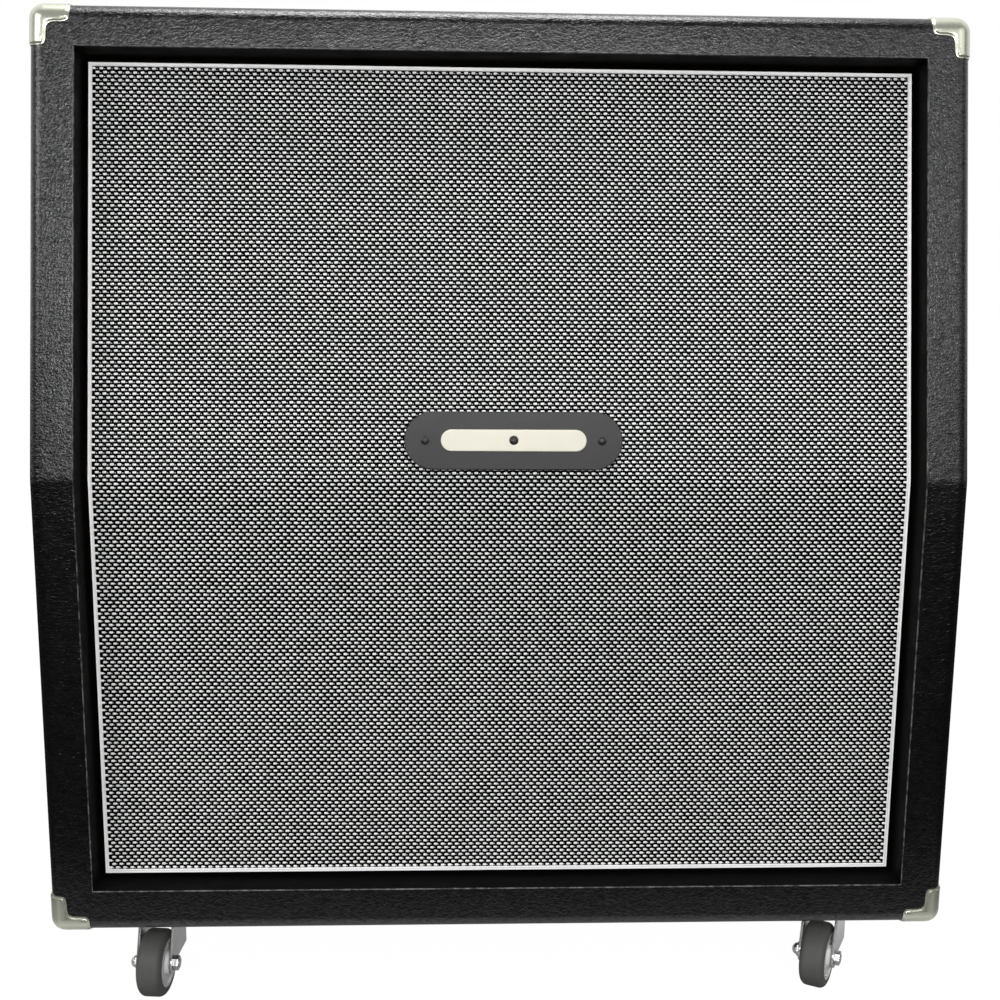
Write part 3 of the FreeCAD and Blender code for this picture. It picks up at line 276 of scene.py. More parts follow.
# a moulded, painted or plated finish: cloudy colour, worn gloss and a fine skin
def plainFinish(name, colour, rough, metal=0.0, cloud=0.15, grain=900.0, relief=0.00002, specular=0.5):
    material, tree, shader = startMaterial(name, Metallic=metal, Specular_IOR_Level=specular)
    place = surfacePlace(tree)
    cloudy = noise(tree, place, **plainLook["cloud"])
    fine = noise(tree, place, grain, 2.0)
    tones = (shade(colour, 1 - cloud), shade(colour, 1 + cloud))
    stops = list(zip(plainLook["reach"], tones))
    gloss = [rough * share for share in plainLook["wear"]]
    tree.links.new(ramp(tree, cloudy, stops), shader.inputs["Base Color"])
    tree.links.new(spread(tree, cloudy, *gloss), shader.inputs["Roughness"])
    tree.links.new(bump(tree, fine, relief), shader.inputs["Normal"])
    return material


# a finish whose colour and relief follow one noise, its grain
def noisyFinish(name, rough, specular, grain, stops, relief, stretch=(1, 1, 1), turn=(0, 0, 0)):
    material, tree, shader = startMaterial(name, Roughness=rough, Specular_IOR_Level=specular)
    pattern = noise(tree, surfacePlace(tree, stretch, turn), *grain)
    tree.links.new(ramp(tree, pattern, stops), shader.inputs["Base Color"])
    tree.links.new(bump(tree, pattern, relief), shader.inputs["Normal"])
    return material


vinylLook = {
    "tones": [(0.32, (0.0013, 0.0013, 0.0013)), (0.7, (0.0028, 0.0028, 0.0029))],
    "pores": 400.0,         # to the metre
    "poreEdge": 0.22,       # share of a pore that slopes
    "foldEdge": (0.47, 0.53),
    # noises: scale, detail, roughness and distortion
    "clouds": (22.0, 5.0, 0.6),
    "patches": (120.0, 2.0),
    "wrinkles": (420.0, 2.0, 0.6, 0.8),
    "folds": (16.0, 5.0, 0.55, 2.2),
    # stretch and turn of a noise
    "wrinkleLie": ((0.55, 1.0, 1.0), (0.4, 0.3, 0.0)),
    "foldLie": ((1.0, 1.0, 0.5), (0.3, -0.6, 0.0)),
    # height and strength
    "poreRelief": (0.00008, 0.8),
    "wrinkleRelief": (0.0005, 0.7),
    "foldRelief": (0.00008, 0.35),
    "gloss": (0.19, 0.27),  # across the patches
    "shine": (0.19, 0.51),  # in the hollows and on the ridges of the wrinkles
    "index": 1.7,           # of the glossy top coat
}


def vinylMaterial():
    look = vinylLook
    material, tree, shader = startMaterial("grained_vinyl", IOR=look["index"])
    place = surfacePlace(tree)
    patches = noise(tree, place, *look["patches"])
    pores = addNode(
        tree, "TexVoronoi", {"Vector": place, "Scale": look["pores"], "Randomness": 1.0},
        feature="DISTANCE_TO_EDGE",
    ).outputs["Distance"]
    wrinkles = noise(tree, surfacePlace(tree, *look["wrinkleLie"]), *look["wrinkles"])
    folds = noise(tree, surfacePlace(tree, *look["foldLie"]), *look["folds"])
    clouds = noise(tree, place, *look["clouds"])
    tree.links.new(ramp(tree, clouds, look["tones"]), shader.inputs["Base Color"])
    tree.links.new(spread(tree, patches, *look["gloss"]), shader.inputs["Roughness"])
    tree.links.new(spread(tree, wrinkles, *look["shine"]), shader.inputs["Specular IOR Level"])
    porous = bump(tree, spread(tree, pores, 0.0, 1.0, 0.0, look["poreEdge"]), *look["poreRelief"])
    wrinkled = bump(tree, wrinkles, *look["wrinkleRelief"], porous)
    folded = bump(tree, spread(tree, folds, 0.0, 1.0, *look["foldEdge"]), *look["foldRelief"], wrinkled)
    tree.links.new(folded, shader.inputs["Normal"])
    return material


def clothGroundMaterial():
    material, tree, shader = startMaterial("grille_ground", Roughness=0.9, Specular_IOR_Level=0.0)
    place = surfacePlace(tree)
    threads = noise(tree, surfacePlace(tree, (0.35, 1, 1.6)), 900.0, 2.0)
    tree.links.new(
        ramp(tree, threads, [(0.35, (0.0006, 0.0006, 0.0006)), (0.7, (0.002, 0.002, 0.002))]),
        shader.inputs["Base Color"],
    )
    tree.links.new(bump(tree, noise(tree, place, 700.0), 0.0002), shader.inputs["Normal"])
    return material


def yarnMaterial():
    material, tree, shader = startMaterial("white_yarn", Roughness=0.7, Specular_IOR_Level=0.3)
    strands = noise(tree, surfacePlace(tree, (0.25, 1, 1)), 1500.0, 2.0)
    patches = noise(tree, surfacePlace(tree), 60.0, 4.0)
    halves = [combine(tree, "MULTIPLY", pattern, 0.5) for pattern in (strands, patches)]
    mixed = combine(tree, "ADD", *halves)
    tree.links.new(
        ramp(tree, mixed, [(0.36, (0.90, 0.90, 0.895)), (0.6, (0.97, 0.97, 0.965))]),
        shader.inputs["Base Color"],
    )
    tree.links.new(bump(tree, strands, 0.0001), shader.inputs["Normal"])
    return material


vinyl = vinylMaterial()
# the folded lip: a painted highlight, light grey in dashes
lipHighlightPaint = noisyFinish(
    "lip_painted_highlight", 0.35, 0.4, (170.0, 3.0, 0.6),
    [(0.40, (0.007, 0.007, 0.007)), (0.64, (0.12, 0.12, 0.118))], relief=0.0002,
)
clothGround = clothGroundMaterial()
yarn = yarnMaterial()
plywood = noisyFinish(
    "birch_plywood", 0.6, 0.3, (140.0, 6.0, 0.6, 1.4),
    [(0.3, (0.34, 0.21, 0.11)), (0.55, (0.52, 0.36, 0.20)), (0.75, (0.60, 0.44, 0.27))],
    relief=0.0001, stretch=(1.0, 1.0, 0.06),
)
conePaper = noisyFinish(
    "cone_paper", 0.8, 0.3, (420.0, 6.0, 0.7, 1.5),
    [(0.35, (0.018, 0.017, 0.016)), (0.7, (0.06, 0.057, 0.052))],
    relief=0.00015, stretch=(1, 1, 0.4), turn=(0.4, 0.2, 0.7),
)
recessBlack = plainFinish("recess_black", (0.0016, 0.0016, 0.0016), 0.6, specular=0.06, relief=0.00006)
pipingWhite = plainFinish("piping_white", (0.96, 0.96, 0.955), 0.4, cloud=0.03)
badgeGrey = plainFinish("badge_grey", (0.026, 0.026, 0.027), 0.36, metal=0.5, cloud=0.2, specular=0.3)
badgeIvory = plainFinish("badge_ivory", (0.74, 0.71, 0.60), 0.4, cloud=0.05)
blackScrew = plainFinish("black_screw", (0.012, 0.012, 0.012), 0.34)
platedSteel = plainFinish("plated_steel", (0.57, 0.58, 0.48), 0.22, 0.7, cloud=0.06, relief=0.00001)
zincSteel = plainFinish("zinc_steel", (0.60, 0.60, 0.60), 0.30, metal=1.0, cloud=0.12)
mouldedBlack = plainFinish("moulded_black", (0.013, 0.013, 0.013), 0.5, grain=1400.0, relief=0.00008)
plateBlack = plainFinish("plate_black", (0.011, 0.011, 0.011), 0.42, grain=1600.0, relief=0.00005)
socketBlack = plainFinish("socket_black", (0.016, 0.016, 0.016), 0.38)
basketBlack = plainFinish("basket_black", (0.014, 0.014, 0.015), 0.4)
magnetIron = plainFinish("magnet_iron", (0.06, 0.06, 0.065), 0.5, metal=0.6, cloud=0.2)
surroundCloth = plainFinish("surround_cloth", (0.016, 0.015, 0.014), 0.75, relief=0.0001)
leadRubber = plainFinish("lead_rubber", (0.015, 0.015, 0.015), 0.5)
wheelGrey = plainFinish("wheel_grey", (0.80, 0.80, 0.80), 0.45, cloud=0.08)
tyreRubber = plainFinish(
    "tyre_rubber", (0.10, 0.10, 0.096), 0.62, cloud=0.12, relief=0.00008, specular=0.3
)
print("materials made")

# cabinet covering
covering = {
    "skin": 0.0009,
    "edgeSegments": 7,
    "openingEase": 0.0009,
    "rearBorder": 0.020,
    "rearWall": 0.024,
    "cupHalfWidth": 0.0954,
    "cupHalfHeight": 0.0464,
    "cupRise": 0.400,       # from the base to the middle of the cup
    # first insets, before their points are put in place
    "cupInset": 0.05,
    "frontInset": 0.02,
    "rearInset": 0.005,
}


def coveredForm():
    bm = bmesh.new()
    outline = [
        (front, base), (front, bend), (front + form["setBack"], crest), (back, crest), (back, base),
    ]
    side = bm.faces.new([bm.verts.new((-halfWidth, y, z)) for y, z in outline])
    extrudeFaces(bm, [side], (2 * halfWidth, 0, 0))
    bmesh.ops.recalc_face_normals(bm, faces=bm.faces[:])
    rolled = [edge for edge in bm.edges if not all(inBend(vert) for vert in edge.verts)]
    roundEdges(bm, rolled, form["edgeRound"], covering["edgeSegments"])
    bm.normal_update()
    return bm


def handleHole(bm, sign):
    panel = flatFacing(bm, across * sign)
    bmesh.ops.inset_individual(bm, faces=[panel], thickness=covering["cupInset"])
    ordered = sorted(panel.verts, key=lambda vert: vert.co.z)
    for index, vert in enumerate(ordered):
        rise = (0 if index == 2 else copysign(1, index - 2)) * covering["cupHalfHeight"]
        vert.co.y = copysign(covering["cupHalfWidth"], vert.co.y)
        vert.co.z = base + covering["cupRise"] + rise
    bmesh.ops.delete(bm, geom=[panel], context="FACES_ONLY")


def frontOpening(bm):
    panels = [flatFacing(bm, -plainIn), flatFacing(bm, -slantIn)]
    bmesh.ops.inset_region(bm, faces=panels, thickness=covering["frontInset"], use_even_offset=True)
    loop = sorted({vert for face in panels for vert in face.verts}, key=lambda vert: vert.co.z)
    for index, vert in enumerate(loop):
        x = copysign(openingHalf, vert.co.x)
        vert.co = (lowerPoint(x, openingLow), bendAt(x), upperPoint(x, openingReach))[index // 2]
    made = extrudeRegion(bm, panels)
    deep = set(vertsOf(made))
    pushIn(deep, form["pocket"])
    for face in {face for vert in deep for face in vert.link_faces}:
        face.material_index = 1
    bmesh.ops.delete(bm, geom=facesOf(made), context="FACES")
    return loop


def rearOpening(bm):
    panel = flatFacing(bm, plainIn)
    bmesh.ops.inset_region(bm, faces=[panel], thickness=covering["rearInset"], use_even_offset=True)
    loop = list(panel.verts)
    border = covering["rearBorder"]
    for vert in loop:
        vert.co.x = copysign(halfWidth - border, vert.co.x)
        vert.co.z = base + border if vert.co.z < (base + crest) / 2 else crest - border
    made = extrudeFaces(bm, [panel], (0, -covering["rearWall"], 0))
    bmesh.ops.delete(bm, geom=facesOf(made), context="FACES")
    return loop


def coverCabinet():
    bm = coveredForm()
    for sign in (-1, 1):
        handleHole(bm, sign)
    lips = set(frontOpening(bm)) | set(rearOpening(bm))
    lipEdges = [
        edge for edge in bm.edges
        if len(edge.link_faces) == 2 and all(vert in lips for vert in edge.verts)
    ]
    # the eased lip faces take the painted highlight
    for face in roundEdges(bm, lipEdges, covering["openingEase"])["faces"]:
        face.material_index = 2
    folds = [edge for edge in bm.edges if all(inBend(vert) for vert in edge.verts)]
    roundEdges(bm, folds, form["bendRound"] * halfTan)
    bmesh.ops.recalc_face_normals(bm, faces=bm.faces[:])
    piece = addPiece(
        "vinyl_skin", bm, [vinyl, recessBlack, lipHighlightPaint], replaces=["vinyl_covering"], sharp=50
    )
    thicken(piece, "skin", covering["skin"])
    weightNormals(piece)


coverCabinet()
print("covering made")

# grille cloth: a dark ground and rows of white floats
cloth = {
    "groundDepth": 0.0008,  # behind the face of the cloth
    "groundThick": 0.0006,
    "pitch": 0.00607,       # between floats of one row
    "rowPitch": 0.00321,
    "float": (0.00176, 0.00104, 0.00062),   # half sizes across, up and out
    "stand": 0.4,           # share of a float's half size that stands out of the ground
    "neck": (0.00070, 0.00040, 0.00030),
    "neckUpper": (0.00265, -0.00045),
    "neckLower": (0.00225, -0.00020),
    "boxy": 0.5,
    "wander": 0.0006,
    "wanderScale": 0.045,
    "swell": 0.0003,
    "swellScale": 0.006,
    "edge": 0.0012,         # left free at the ends of a row
    "lastRow": 0.0044,      # from its middle to the border of the cloth
}


groundAt = form["recess"] + cloth["groundDepth"]


def bentPanel(bm, half, low, reach, depth):
    rise = [lowerPoint(-half, low, depth), bendAt(-half, depth), upperPoint(-half, reach, depth)]
    verts = [bm.verts.new(place) for place in rise]
    run = [bm.edges.new(pair) for pair in zip(verts, verts[1:])]
    made = bmesh.ops.extrude_edge_only(bm, edges=run)
    bmesh.ops.translate(bm, verts=vertsOf(made), vec=(2 * half, 0, 0))
    bm.normal_update()
    if bm.faces[:][0].normal.y > 0:
        bmesh.ops.reverse_faces(bm, faces=bm.faces[:])
    return bm.faces[:]


def clothSheet():
    bm = bmesh.new()
    bentPanel(bm, grilleHalf, grilleLow, grilleReach, groundAt)
    fold = [edge for edge in bm.edges if all(inBend(vert) for vert in edge.verts)]
    roundEdges(bm, fold, form["bendRound"] * halfTan / 2)
    sheet = addPiece(
        "grille_ground_cloth", bm, [clothGround], replaces=["grille_cloth"]
    )
    thicken(sheet, "thickness", cloth["groundThick"])
    return sheet


def cloudTexture(name, size):
    texture = bpy.data.textures.new(name, "CLOUDS")
    texture.noise_scale = size
    texture.noise_depth = 1
    return texture


wanderTexture = cloudTexture("row wander", cloth["wanderScale"])
swellTexture = cloudTexture("float swell", cloth["swellScale"])


def repeatAlong(piece, name, step, count):
    array = piece.modifiers.new(name, "ARRAY")
    array.fit_type = "FIXED_COUNT"
    array.use_relative_offset = False
    array.use_constant_offset = True
    array.constant_offset_displace = step
    array.count = count


def displace(piece, name, texture, strength, direction):
    wave = piece.modifiers.new(name, "DISPLACE")
    wave.texture = texture
    wave.texture_coords = "LOCAL"
    wave.direction = direction
    wave.strength = strength
    wave.mid_level = 0.5


def floatMesh(neckPlace):
    bm = bmesh.new()
    bmesh.ops.create_icosphere(bm, subdivisions=1, radius=1.0)
    for vert in bm.verts:
        vert.co = Vector([copysign(abs(part) ** cloth["boxy"], part) for part in vert.co])
    bmesh.ops.scale(bm, verts=bm.verts[:], vec=cloth["float"])
    placed = Matrix.Translation((*neckPlace, 0)) @ Matrix.Diagonal((*cloth["neck"], 1))
    bmesh.ops.create_uvsphere(bm, u_segments=4, v_segments=2, radius=1.0, matrix=placed)
    return bm


def floatRows(half, parity):
    lower = half == "lower"
    up, inward = (plainUp, plainIn) if lower else (slantUp, slantIn)
    depth = groundAt - cloth["float"][2] * cloth["stand"]
    foldPoint = bendAt(0, depth)
    run = foldPoint.z - grilleLow if lower else grilleReach - depth * halfTan
    span = run - cloth["lastRow"]
    rowCount = round(span / cloth["rowPitch"] + 0.5)
    rowPitch = span / (rowCount - 0.5)
    direction = -up if lower else up
    perRow = int((2 * grilleHalf - cloth["edge"]) / cloth["pitch"])
    stagger = 0.25 if (parity == 0) == lower else -0.25
    firstX = -(perRow - 1) / 2 * cloth["pitch"] + stagger * cloth["pitch"]
    start = foldPoint + direction * rowPitch * (parity + 0.5) + across * firstX
    bm = floatMesh(cloth["neckLower"] if lower else cloth["neckUpper"])
    bmesh.ops.transform(bm, matrix=seatFrame(start, -inward, up), verts=bm.verts[:])
    name = f"grille_floats_{half}_{'even' if parity == 0 else 'odd'}"
    piece = addPiece(name, bm, [yarn], sharp=180)
    repeatAlong(piece, "across", across * cloth["pitch"], perRow)
    repeatAlong(piece, "rows", direction * 2 * rowPitch, (rowCount + 1 - parity) // 2)
    displace(piece, "swell", swellTexture, cloth["swell"], "NORMAL")
    displace(piece, "wander", wanderTexture, cloth["wander"], "Z")
    return piece


grilleSheet = clothSheet()
floats = [floatRows(half, parity) for half in ("lower", "upper") for parity in (0, 1)]
print("grille cloth made")

# white piping round the cloth, two beads side by side
piping = {
    "width": 0.0030, "height": 0.0020, "groove": 0.0008, "ease": 0.0007,
    "foot": 0.0004,         # behind the face of the cloth
}


def layPiping():
    bm = bmesh.new()
    inner = bentPanel(bm, grilleHalf, grilleLow, grilleReach, form["recess"] + piping["foot"])
    beads = []
    for _ in range(2):
        made = bmesh.ops.inset_region(
            bm, faces=inner, thickness=piping["width"] / 2, use_boundary=True, use_even_offset=True
        )
        beads += made["faces"]
    bmesh.ops.delete(bm, geom=inner, context="FACES")
    made = extrudeRegion(bm, beads)
    tops = set(facesOf(made))
    topVerts = vertsOf(made)
    pushIn(topVerts, -piping["height"])
    middle = [vert for vert in topVerts if all(face in tops for face in vert.link_faces)]
    pushIn(middle, piping["groove"])
    rims = [edge for edge in bm.edges if sum(face in tops for face in edge.link_faces) == 1]
    bmesh.ops.recalc_face_normals(bm, faces=bm.faces[:])
    roundEdges(bm, rims, piping["ease"])
    piece = addPiece(
        "piping_beads", bm, [pipingWhite], replaces=["grille_piping"], sharp=60
    )
    weightNormals(piece)


layPiping()
print("piping made")

# bare badge place: a stadium plate with a raised blank bar
badge = {
    "width": 0.180, "height": 0.048, "thick": 0.0025,
    "barWidth": 0.120, "barHeight": 0.018, "barThick": 0.002,
    "screwHole": 0.0037,    # in the middle of the bar
    "offset": 0.008, "rise": 0.034,
    "ease": 0.0007, "segments": 62,
}


def stadium(name, width, height, thick, depth, hole, material, node):
    bm = bmesh.new()
    outline = bmesh.ops.create_circle(bm, radius=height / 2, segments=badge["segments"])["verts"]
    for vert in outline:
        vert.co.x += copysign((width - height) / 2, vert.co.x)
    if hole:
        bmesh.ops.create_circle(bm, radius=hole, segments=badge["segments"])
        bmesh.ops.bridge_loops(bm, edges=bm.edges[:])
    else:
        bm.faces.new(outline)
    made = extrudeFaces(bm, bm.faces[:], (0, 0, thick))
    bmesh.ops.recalc_face_normals(bm, faces=bm.faces[:])
    top = set(facesOf(made))
    rim = [edge for edge in bm.edges if sum(face in top for face in edge.link_faces) == 1]
    roundEdges(bm, rim, badge["ease"])
    seat = seatFrame(upperPoint(badge["offset"], badge["rise"], depth), -slantIn, slantUp)
    bmesh.ops.transform(bm, matrix=seat, verts=bm.verts[:])
    weightNormals(addPiece(name, bm, [material], replaces=[node]))


plateFace = form["recess"] - badge["thick"]
stadium(
    "badge_blank_plate", badge["width"], badge["height"], badge["thick"], form["recess"],
    None, badgeGrey, "badge_plate",
)
stadium(
    "badge_blank_bar", badge["barWidth"], badge["barHeight"], badge["barThick"], plateFace,
    badge["screwHole"], badgeIvory, "badge_bar",
)
print("badge place made")

# cross-head screws on the seats that the frame gives
screwHead = {
    "height": 0.0024, "dome": 0.0008, "slotDepth": 0.0012, "cells": 5,
    "crossHalf": 0.1, "crossReach": 0.6,    # cells with their middle inside are cut, in radii
}
screwSets = {
    "badge_screws": {"radius": 0.0035, "out": -slantIn, "up": slantUp, "slot": "black_screw"},
    "handle_screws": {"radius": 0.0045, "out": None, "up": plainUp, "slot": "black_screw"},
    "back_panel_screws": {"radius": 0.0045, "out": plainIn, "up": plainUp, "slot": "black_screw"},
    "jack_plate_screws": {"radius": 0.0035, "out": plainIn, "up": plainUp, "slot": "black_screw"},
    "caster_screws": {"radius": 0.0045, "out": -plainUp, "up": plainIn, "slot": "zinc_steel"},
}


# centre and outward side of each separate screw of a node
def screwSeats(node, out):
    bm = bmesh.new()
    bm.from_mesh(nodes[node].data)
    bmesh.ops.remove_doubles(bm, verts=bm.verts[:], dist=weld)
    left = set(bm.verts)
    seats = []
    while left:
        reached = {left.pop()}
        edge = set(reached)
        while edge:
            edge = {link.other_vert(vert) for vert in edge for link in vert.link_edges} - reached
            reached |= edge
        left -= reached
        points = [vert.co.copy() for vert in reached]
        middle = sum(points, Vector()) / len(points)
        facing = out if out is not None else across * copysign(1, middle.x)
        farthest = max(point.dot(facing) for point in points)
        top = [point for point in points if point.dot(facing) > farthest - tiny]
        seats.append((sum(top, Vector()) / len(top), facing))
    bm.free()
    return seats


def inCross(face):
    near, far = sorted(abs(part) for part in face.calc_center_median().xy)
    return near < screwHead["crossHalf"] and far < screwHead["crossReach"]


def crossHead(bm, seat, radius):
    cells = screwHead["cells"]
    known = set(bm.verts)
    bmesh.ops.create_grid(bm, x_segments=cells, y_segments=cells, size=1.0)
    verts = [vert for vert in bm.verts if vert not in known]
    faces = {face for vert in verts for face in vert.link_faces}
    cross = [face for face in faces if inCross(face)]
    rim = [edge for edge in {edge for face in faces for edge in face.edges} if edge.is_boundary]
    for vert in verts:
        x, y = vert.co.x, vert.co.y
        vert.co.x = x * (1 - y * y / 2) ** 0.5 * radius
        vert.co.y = y * (1 - x * x / 2) ** 0.5 * radius
        away = min(1.0, (vert.co.x ** 2 + vert.co.y ** 2) ** 0.5 / radius)
        vert.co.z = -screwHead["dome"] * away * away
    skirt = bmesh.ops.extrude_edge_only(bm, edges=rim)
    for vert in vertsOf(skirt):
        vert.co.z = -screwHead["height"]
    extrudeFaces(bm, cross, (0, 0, -screwHead["slotDepth"]))
    made = [vert for vert in bm.verts if vert not in known]
    bmesh.ops.transform(bm, matrix=seat, verts=made)


for node, spec in screwSets.items():
    heads = bmesh.new()
    for top, facing in screwSeats(node, spec["out"]):
        crossHead(heads, seatFrame(top, facing, spec["up"]), spec["radius"])
    steel = blackScrew if spec["slot"] == "black_screw" else zincSteel
    addPiece("cross_head_" + node, heads, [steel], replaces=[node], clean=True)
print("screws made")

# wheels, turned about each axle
wheel = {
    "radius": 0.0290, "halfTread": 0.011, "treadRound": 0.0056, "coreRadius": 0.0210,
    "steps": 64, "treadSteps": 6,
    "crisp": 35,            # degrees between faces of the core whose edge is eased
    "coreEase": 0.0004,
}
# half of the core's outline, from the hub's mouth to the rim: distance along the axle, radius
coreOutline = [
    (0.0131, 0.0041), (0.0131, 0.0088), (0.0120, 0.0100), (0.0098, 0.0107), (0.0103, 0.0166),
    (0.0090, 0.0170), (0.0090, 0.0179), (0.0104, 0.0183), (0.0110, 0.0190), (0.0110, 0.0210),
]


def axleFrame(caster):
    joint = joints[caster + "_wheel_spin"]
    axis = Vector(joint["axis"])
    turned = Matrix((axis, plainUp.cross(axis), plainUp)).transposed().to_4x4()
    return Matrix.Translation(Vector(joint["pos_m"])) @ turned


def spinOutline(outline, steps):
    bm = bmesh.new()
    verts = [bm.verts.new((along, 0, radius)) for along, radius in outline]
    edges = [bm.edges.new(pair) for pair in zip(verts, verts[1:] + verts[:1])]
    bmesh.ops.spin(
        bm, geom=verts + edges, cent=(0, 0, 0), axis=(1, 0, 0), dvec=(0, 0, 0),
        angle=2 * pi, steps=steps, use_merge=True,
    )
    bmesh.ops.remove_doubles(bm, verts=bm.verts[:], dist=weld)
    bmesh.ops.recalc_face_normals(bm, faces=bm.faces[:])
    return bm


def ringAt(bm, along, radius):
    return [
        edge for edge in bm.edges
        if all(abs(v.co.x - along) < tiny and abs((v.co.y ** 2 + v.co.z ** 2) ** 0.5 - radius) < tiny
               for v in edge.verts)
    ]


# the pieces of a wheel are made about x, then set on their axle
def addTurned(caster, name, bm, material, body, node, sharp=40):
    bmesh.ops.transform(bm, matrix=axleFrame(caster), verts=bm.verts[:])
    rides, stands = f"{caster}_{body}", [f"{caster}_{node}"]
    weightNormals(addPiece(f"{caster}_{name}", bm, [material], rides, stands, sharp))


def makeWheel(caster):
    tread, outer, core = wheel["halfTread"], wheel["radius"], wheel["coreRadius"]
    bm = spinOutline([(-tread, core), (tread, core), (tread, outer), (-tread, outer)], wheel["steps"])
    rims = ringAt(bm, tread, outer) + ringAt(bm, -tread, outer)
    roundEdges(bm, rims, wheel["treadRound"], wheel["treadSteps"])
    addTurned(caster, "tread", bm, tyreRubber, "wheel", "tyre")
    mirrored = [(-along, radius) for along, radius in reversed(coreOutline)]
    bm = spinOutline(coreOutline + mirrored, wheel["steps"])
    roundEdges(bm, crispEdges(bm, wheel["crisp"]), wheel["coreEase"], 2)
    addTurned(caster, "wheel_disc", bm, wheelGrey, "wheel", "wheel_core")


# axle: shank, dome nut on one end, chamfered nut on the other
axle = {
    "radius": 0.0040, "reach": 0.0160,      # half of the fork's outside width
    "flats": 0.0115, "nut": 0.0045, "chamfer": 0.0006, "threadOut": 0.0005,
    "skirt": 0.0026, "domeRadius": 0.0054, "domeRise": 0.0048, "domeSink": 0.0004,
    "steps": 32,
}


def turnedUp(bm, segments, wide, narrow, start, height):
    along = Matrix.Translation((start + height / 2, 0, 0)) @ Matrix.Rotation(pi / 2, 4, "Y")
    return bmesh.ops.create_cone(
        bm, cap_ends=True, segments=segments, radius1=wide, radius2=narrow, depth=height, matrix=along
    )["verts"]


def makeAxle(caster):
    bm = bmesh.new()
    corner = axle["flats"] / 2 / cos(pi / 6)
    nut = turnedUp(bm, 6, corner, corner, axle["reach"], axle["nut"])
    skirt = turnedUp(bm, 6, corner, corner, -axle["reach"] - axle["skirt"], axle["skirt"])
    bm.normal_update()
    hexEdges = {edge for vert in nut + skirt for edge in vert.link_edges}
    roundEdges(bm, hexEdges, axle["chamfer"], 2)
    shank = 2 * axle["reach"] + axle["nut"] + axle["threadOut"]
    turnedUp(bm, axle["steps"], axle["radius"], axle["radius"], -axle["reach"], shank)
    known = set(bm.verts)
    bmesh.ops.create_uvsphere(bm, u_segments=axle["steps"], v_segments=axle["steps"] // 2, radius=1.0)
    dome = [vert for vert in bm.verts if vert not in known]
    bmesh.ops.scale(bm, verts=dome, vec=(axle["domeRise"], axle["domeRadius"], axle["domeRadius"]))
    domeAt = -axle["reach"] - axle["skirt"] + axle["domeSink"]
    bmesh.ops.translate(bm, verts=dome, vec=(domeAt, 0, 0))
    addTurned(caster, "axle_nuts", bm, zincSteel, "swivel", "axle_bolt", sharp=35)


# pressed fork: the CAD fork with its flat faces merged and its sharp edges eased
fork = {
    "flat": 0.4,            # degrees between faces that merge
    "crisp": 30,            # degrees between faces whose edge is eased
    "ease": 0.0005,
}


def pressFork(caster):
    node = caster + "_fork"
    bm = bmesh.new()
    bm.from_mesh(nodes[node].data)
    bmesh.ops.remove_doubles(bm, verts=bm.verts[:], dist=weld)
    flat = radians(fork["flat"])
    bmesh.ops.dissolve_limit(bm, angle_limit=flat, verts=bm.verts[:], edges=bm.edges[:])
    bm.normal_update()
    roundEdges(bm, crispEdges(bm, fork["crisp"]), fork["ease"], 2)
    piece = addPiece(
        caster + "_pressed_fork", bm, [zincSteel], caster + "_swivel", [node]
    )
    weightNormals(piece)


for caster in casters:
    makeWheel(caster)
    makeAxle(caster)
    pressFork(caster)
print("wheels made")

# plated corner caps: the covered form cut to three legs, with a flat rim and a raised body
cap = {
    "leg": 0.033, "width": 0.0148, "cells": 6,
    "rounding": 4,          # turns of smoothing along the outline
    "sheet": 0.0006, "rim": 0.0012, "slope": 0.0007, "ridge": 0.0007,
    "drop": 0.0009,         # of the skirt, into the vinyl
}


# a point and the inward direction of each of the three faces that meet at a left corner
def cornerFaces(end, level):
    if end == "rear":
        facing = (Vector((0, back, 0)), -plainIn)
    else:
        facing = (bendPoint, slantIn if level == "high" else plainIn)
    flat = (Vector((0, 0, crest)), -plainUp) if level == "high" else (Vector((0, 0, base)), plainUp)
    return (Vector((-halfWidth, 0, 0)), across), facing, flat


def capPatch(end, level):
    bm = coveredForm()
    surface = BVHTree.FromBMesh(bm)
    faces = cornerFaces(end, level)
    shares = [step / cap["cells"] for step in range(1, cap["cells"] + 1)]
    near = [cap["width"] * share for share in shares]
    far = [cap["width"] + (cap["leg"] - cap["width"]) * share for share in shares]
    for depth in reversed(near + far):
        for place, inward in faces:
            bmesh.ops.bisect_plane(
                bm, geom=[*bm.verts, *bm.edges, *bm.faces], dist=weld,
                plane_co=place + inward * depth, plane_no=inward, clear_outer=depth == far[-1],
            )

    def offLegs(face):
        middle = face.calc_center_median()
        return sum((middle - place).dot(inward) < cap["width"] for place, inward in faces) < 2

    bmesh.ops.delete(bm, geom=[face for face in bm.faces if offLegs(face)], context="FACES")
    for _ in range(cap["rounding"]):
        moved = {}
        for vert in bm.verts:
            beside = [edge.other_vert(vert).co for edge in vert.link_edges if edge.is_boundary]
            if beside:
                moved[vert] = (vert.co * 2 + beside[0] + beside[1]) / 4
        for vert, place in moved.items():
            vert.co = surface.find_nearest(place)[0]
    return bm


def raiseVerts(bm, verts, height):
    bm.normal_update()
    for vert, out in [(vert, vert.normal.copy()) for vert in verts]:
        vert.co += out * height


def shapeCap(end, level):
    bm = capPatch(end, level)
    body = bm.faces[:]
    raiseVerts(bm, bm.verts[:], cap["sheet"])
    for width in (cap["rim"], cap["slope"]):
        bmesh.ops.inset_region(bm, faces=body, thickness=width, use_boundary=True, use_even_offset=True)
    raiseVerts(bm, {vert for face in body for vert in face.verts}, cap["ridge"])
    outline = [edge for edge in bm.edges if edge.is_boundary]
    skirt = set(vertsOf(bmesh.ops.extrude_edge_only(bm, edges=outline)))
    for vert in skirt:
        above = ({edge.other_vert(vert) for edge in vert.link_edges} - skirt).pop()
        vert.co -= above.normal * cap["drop"]
    return bm


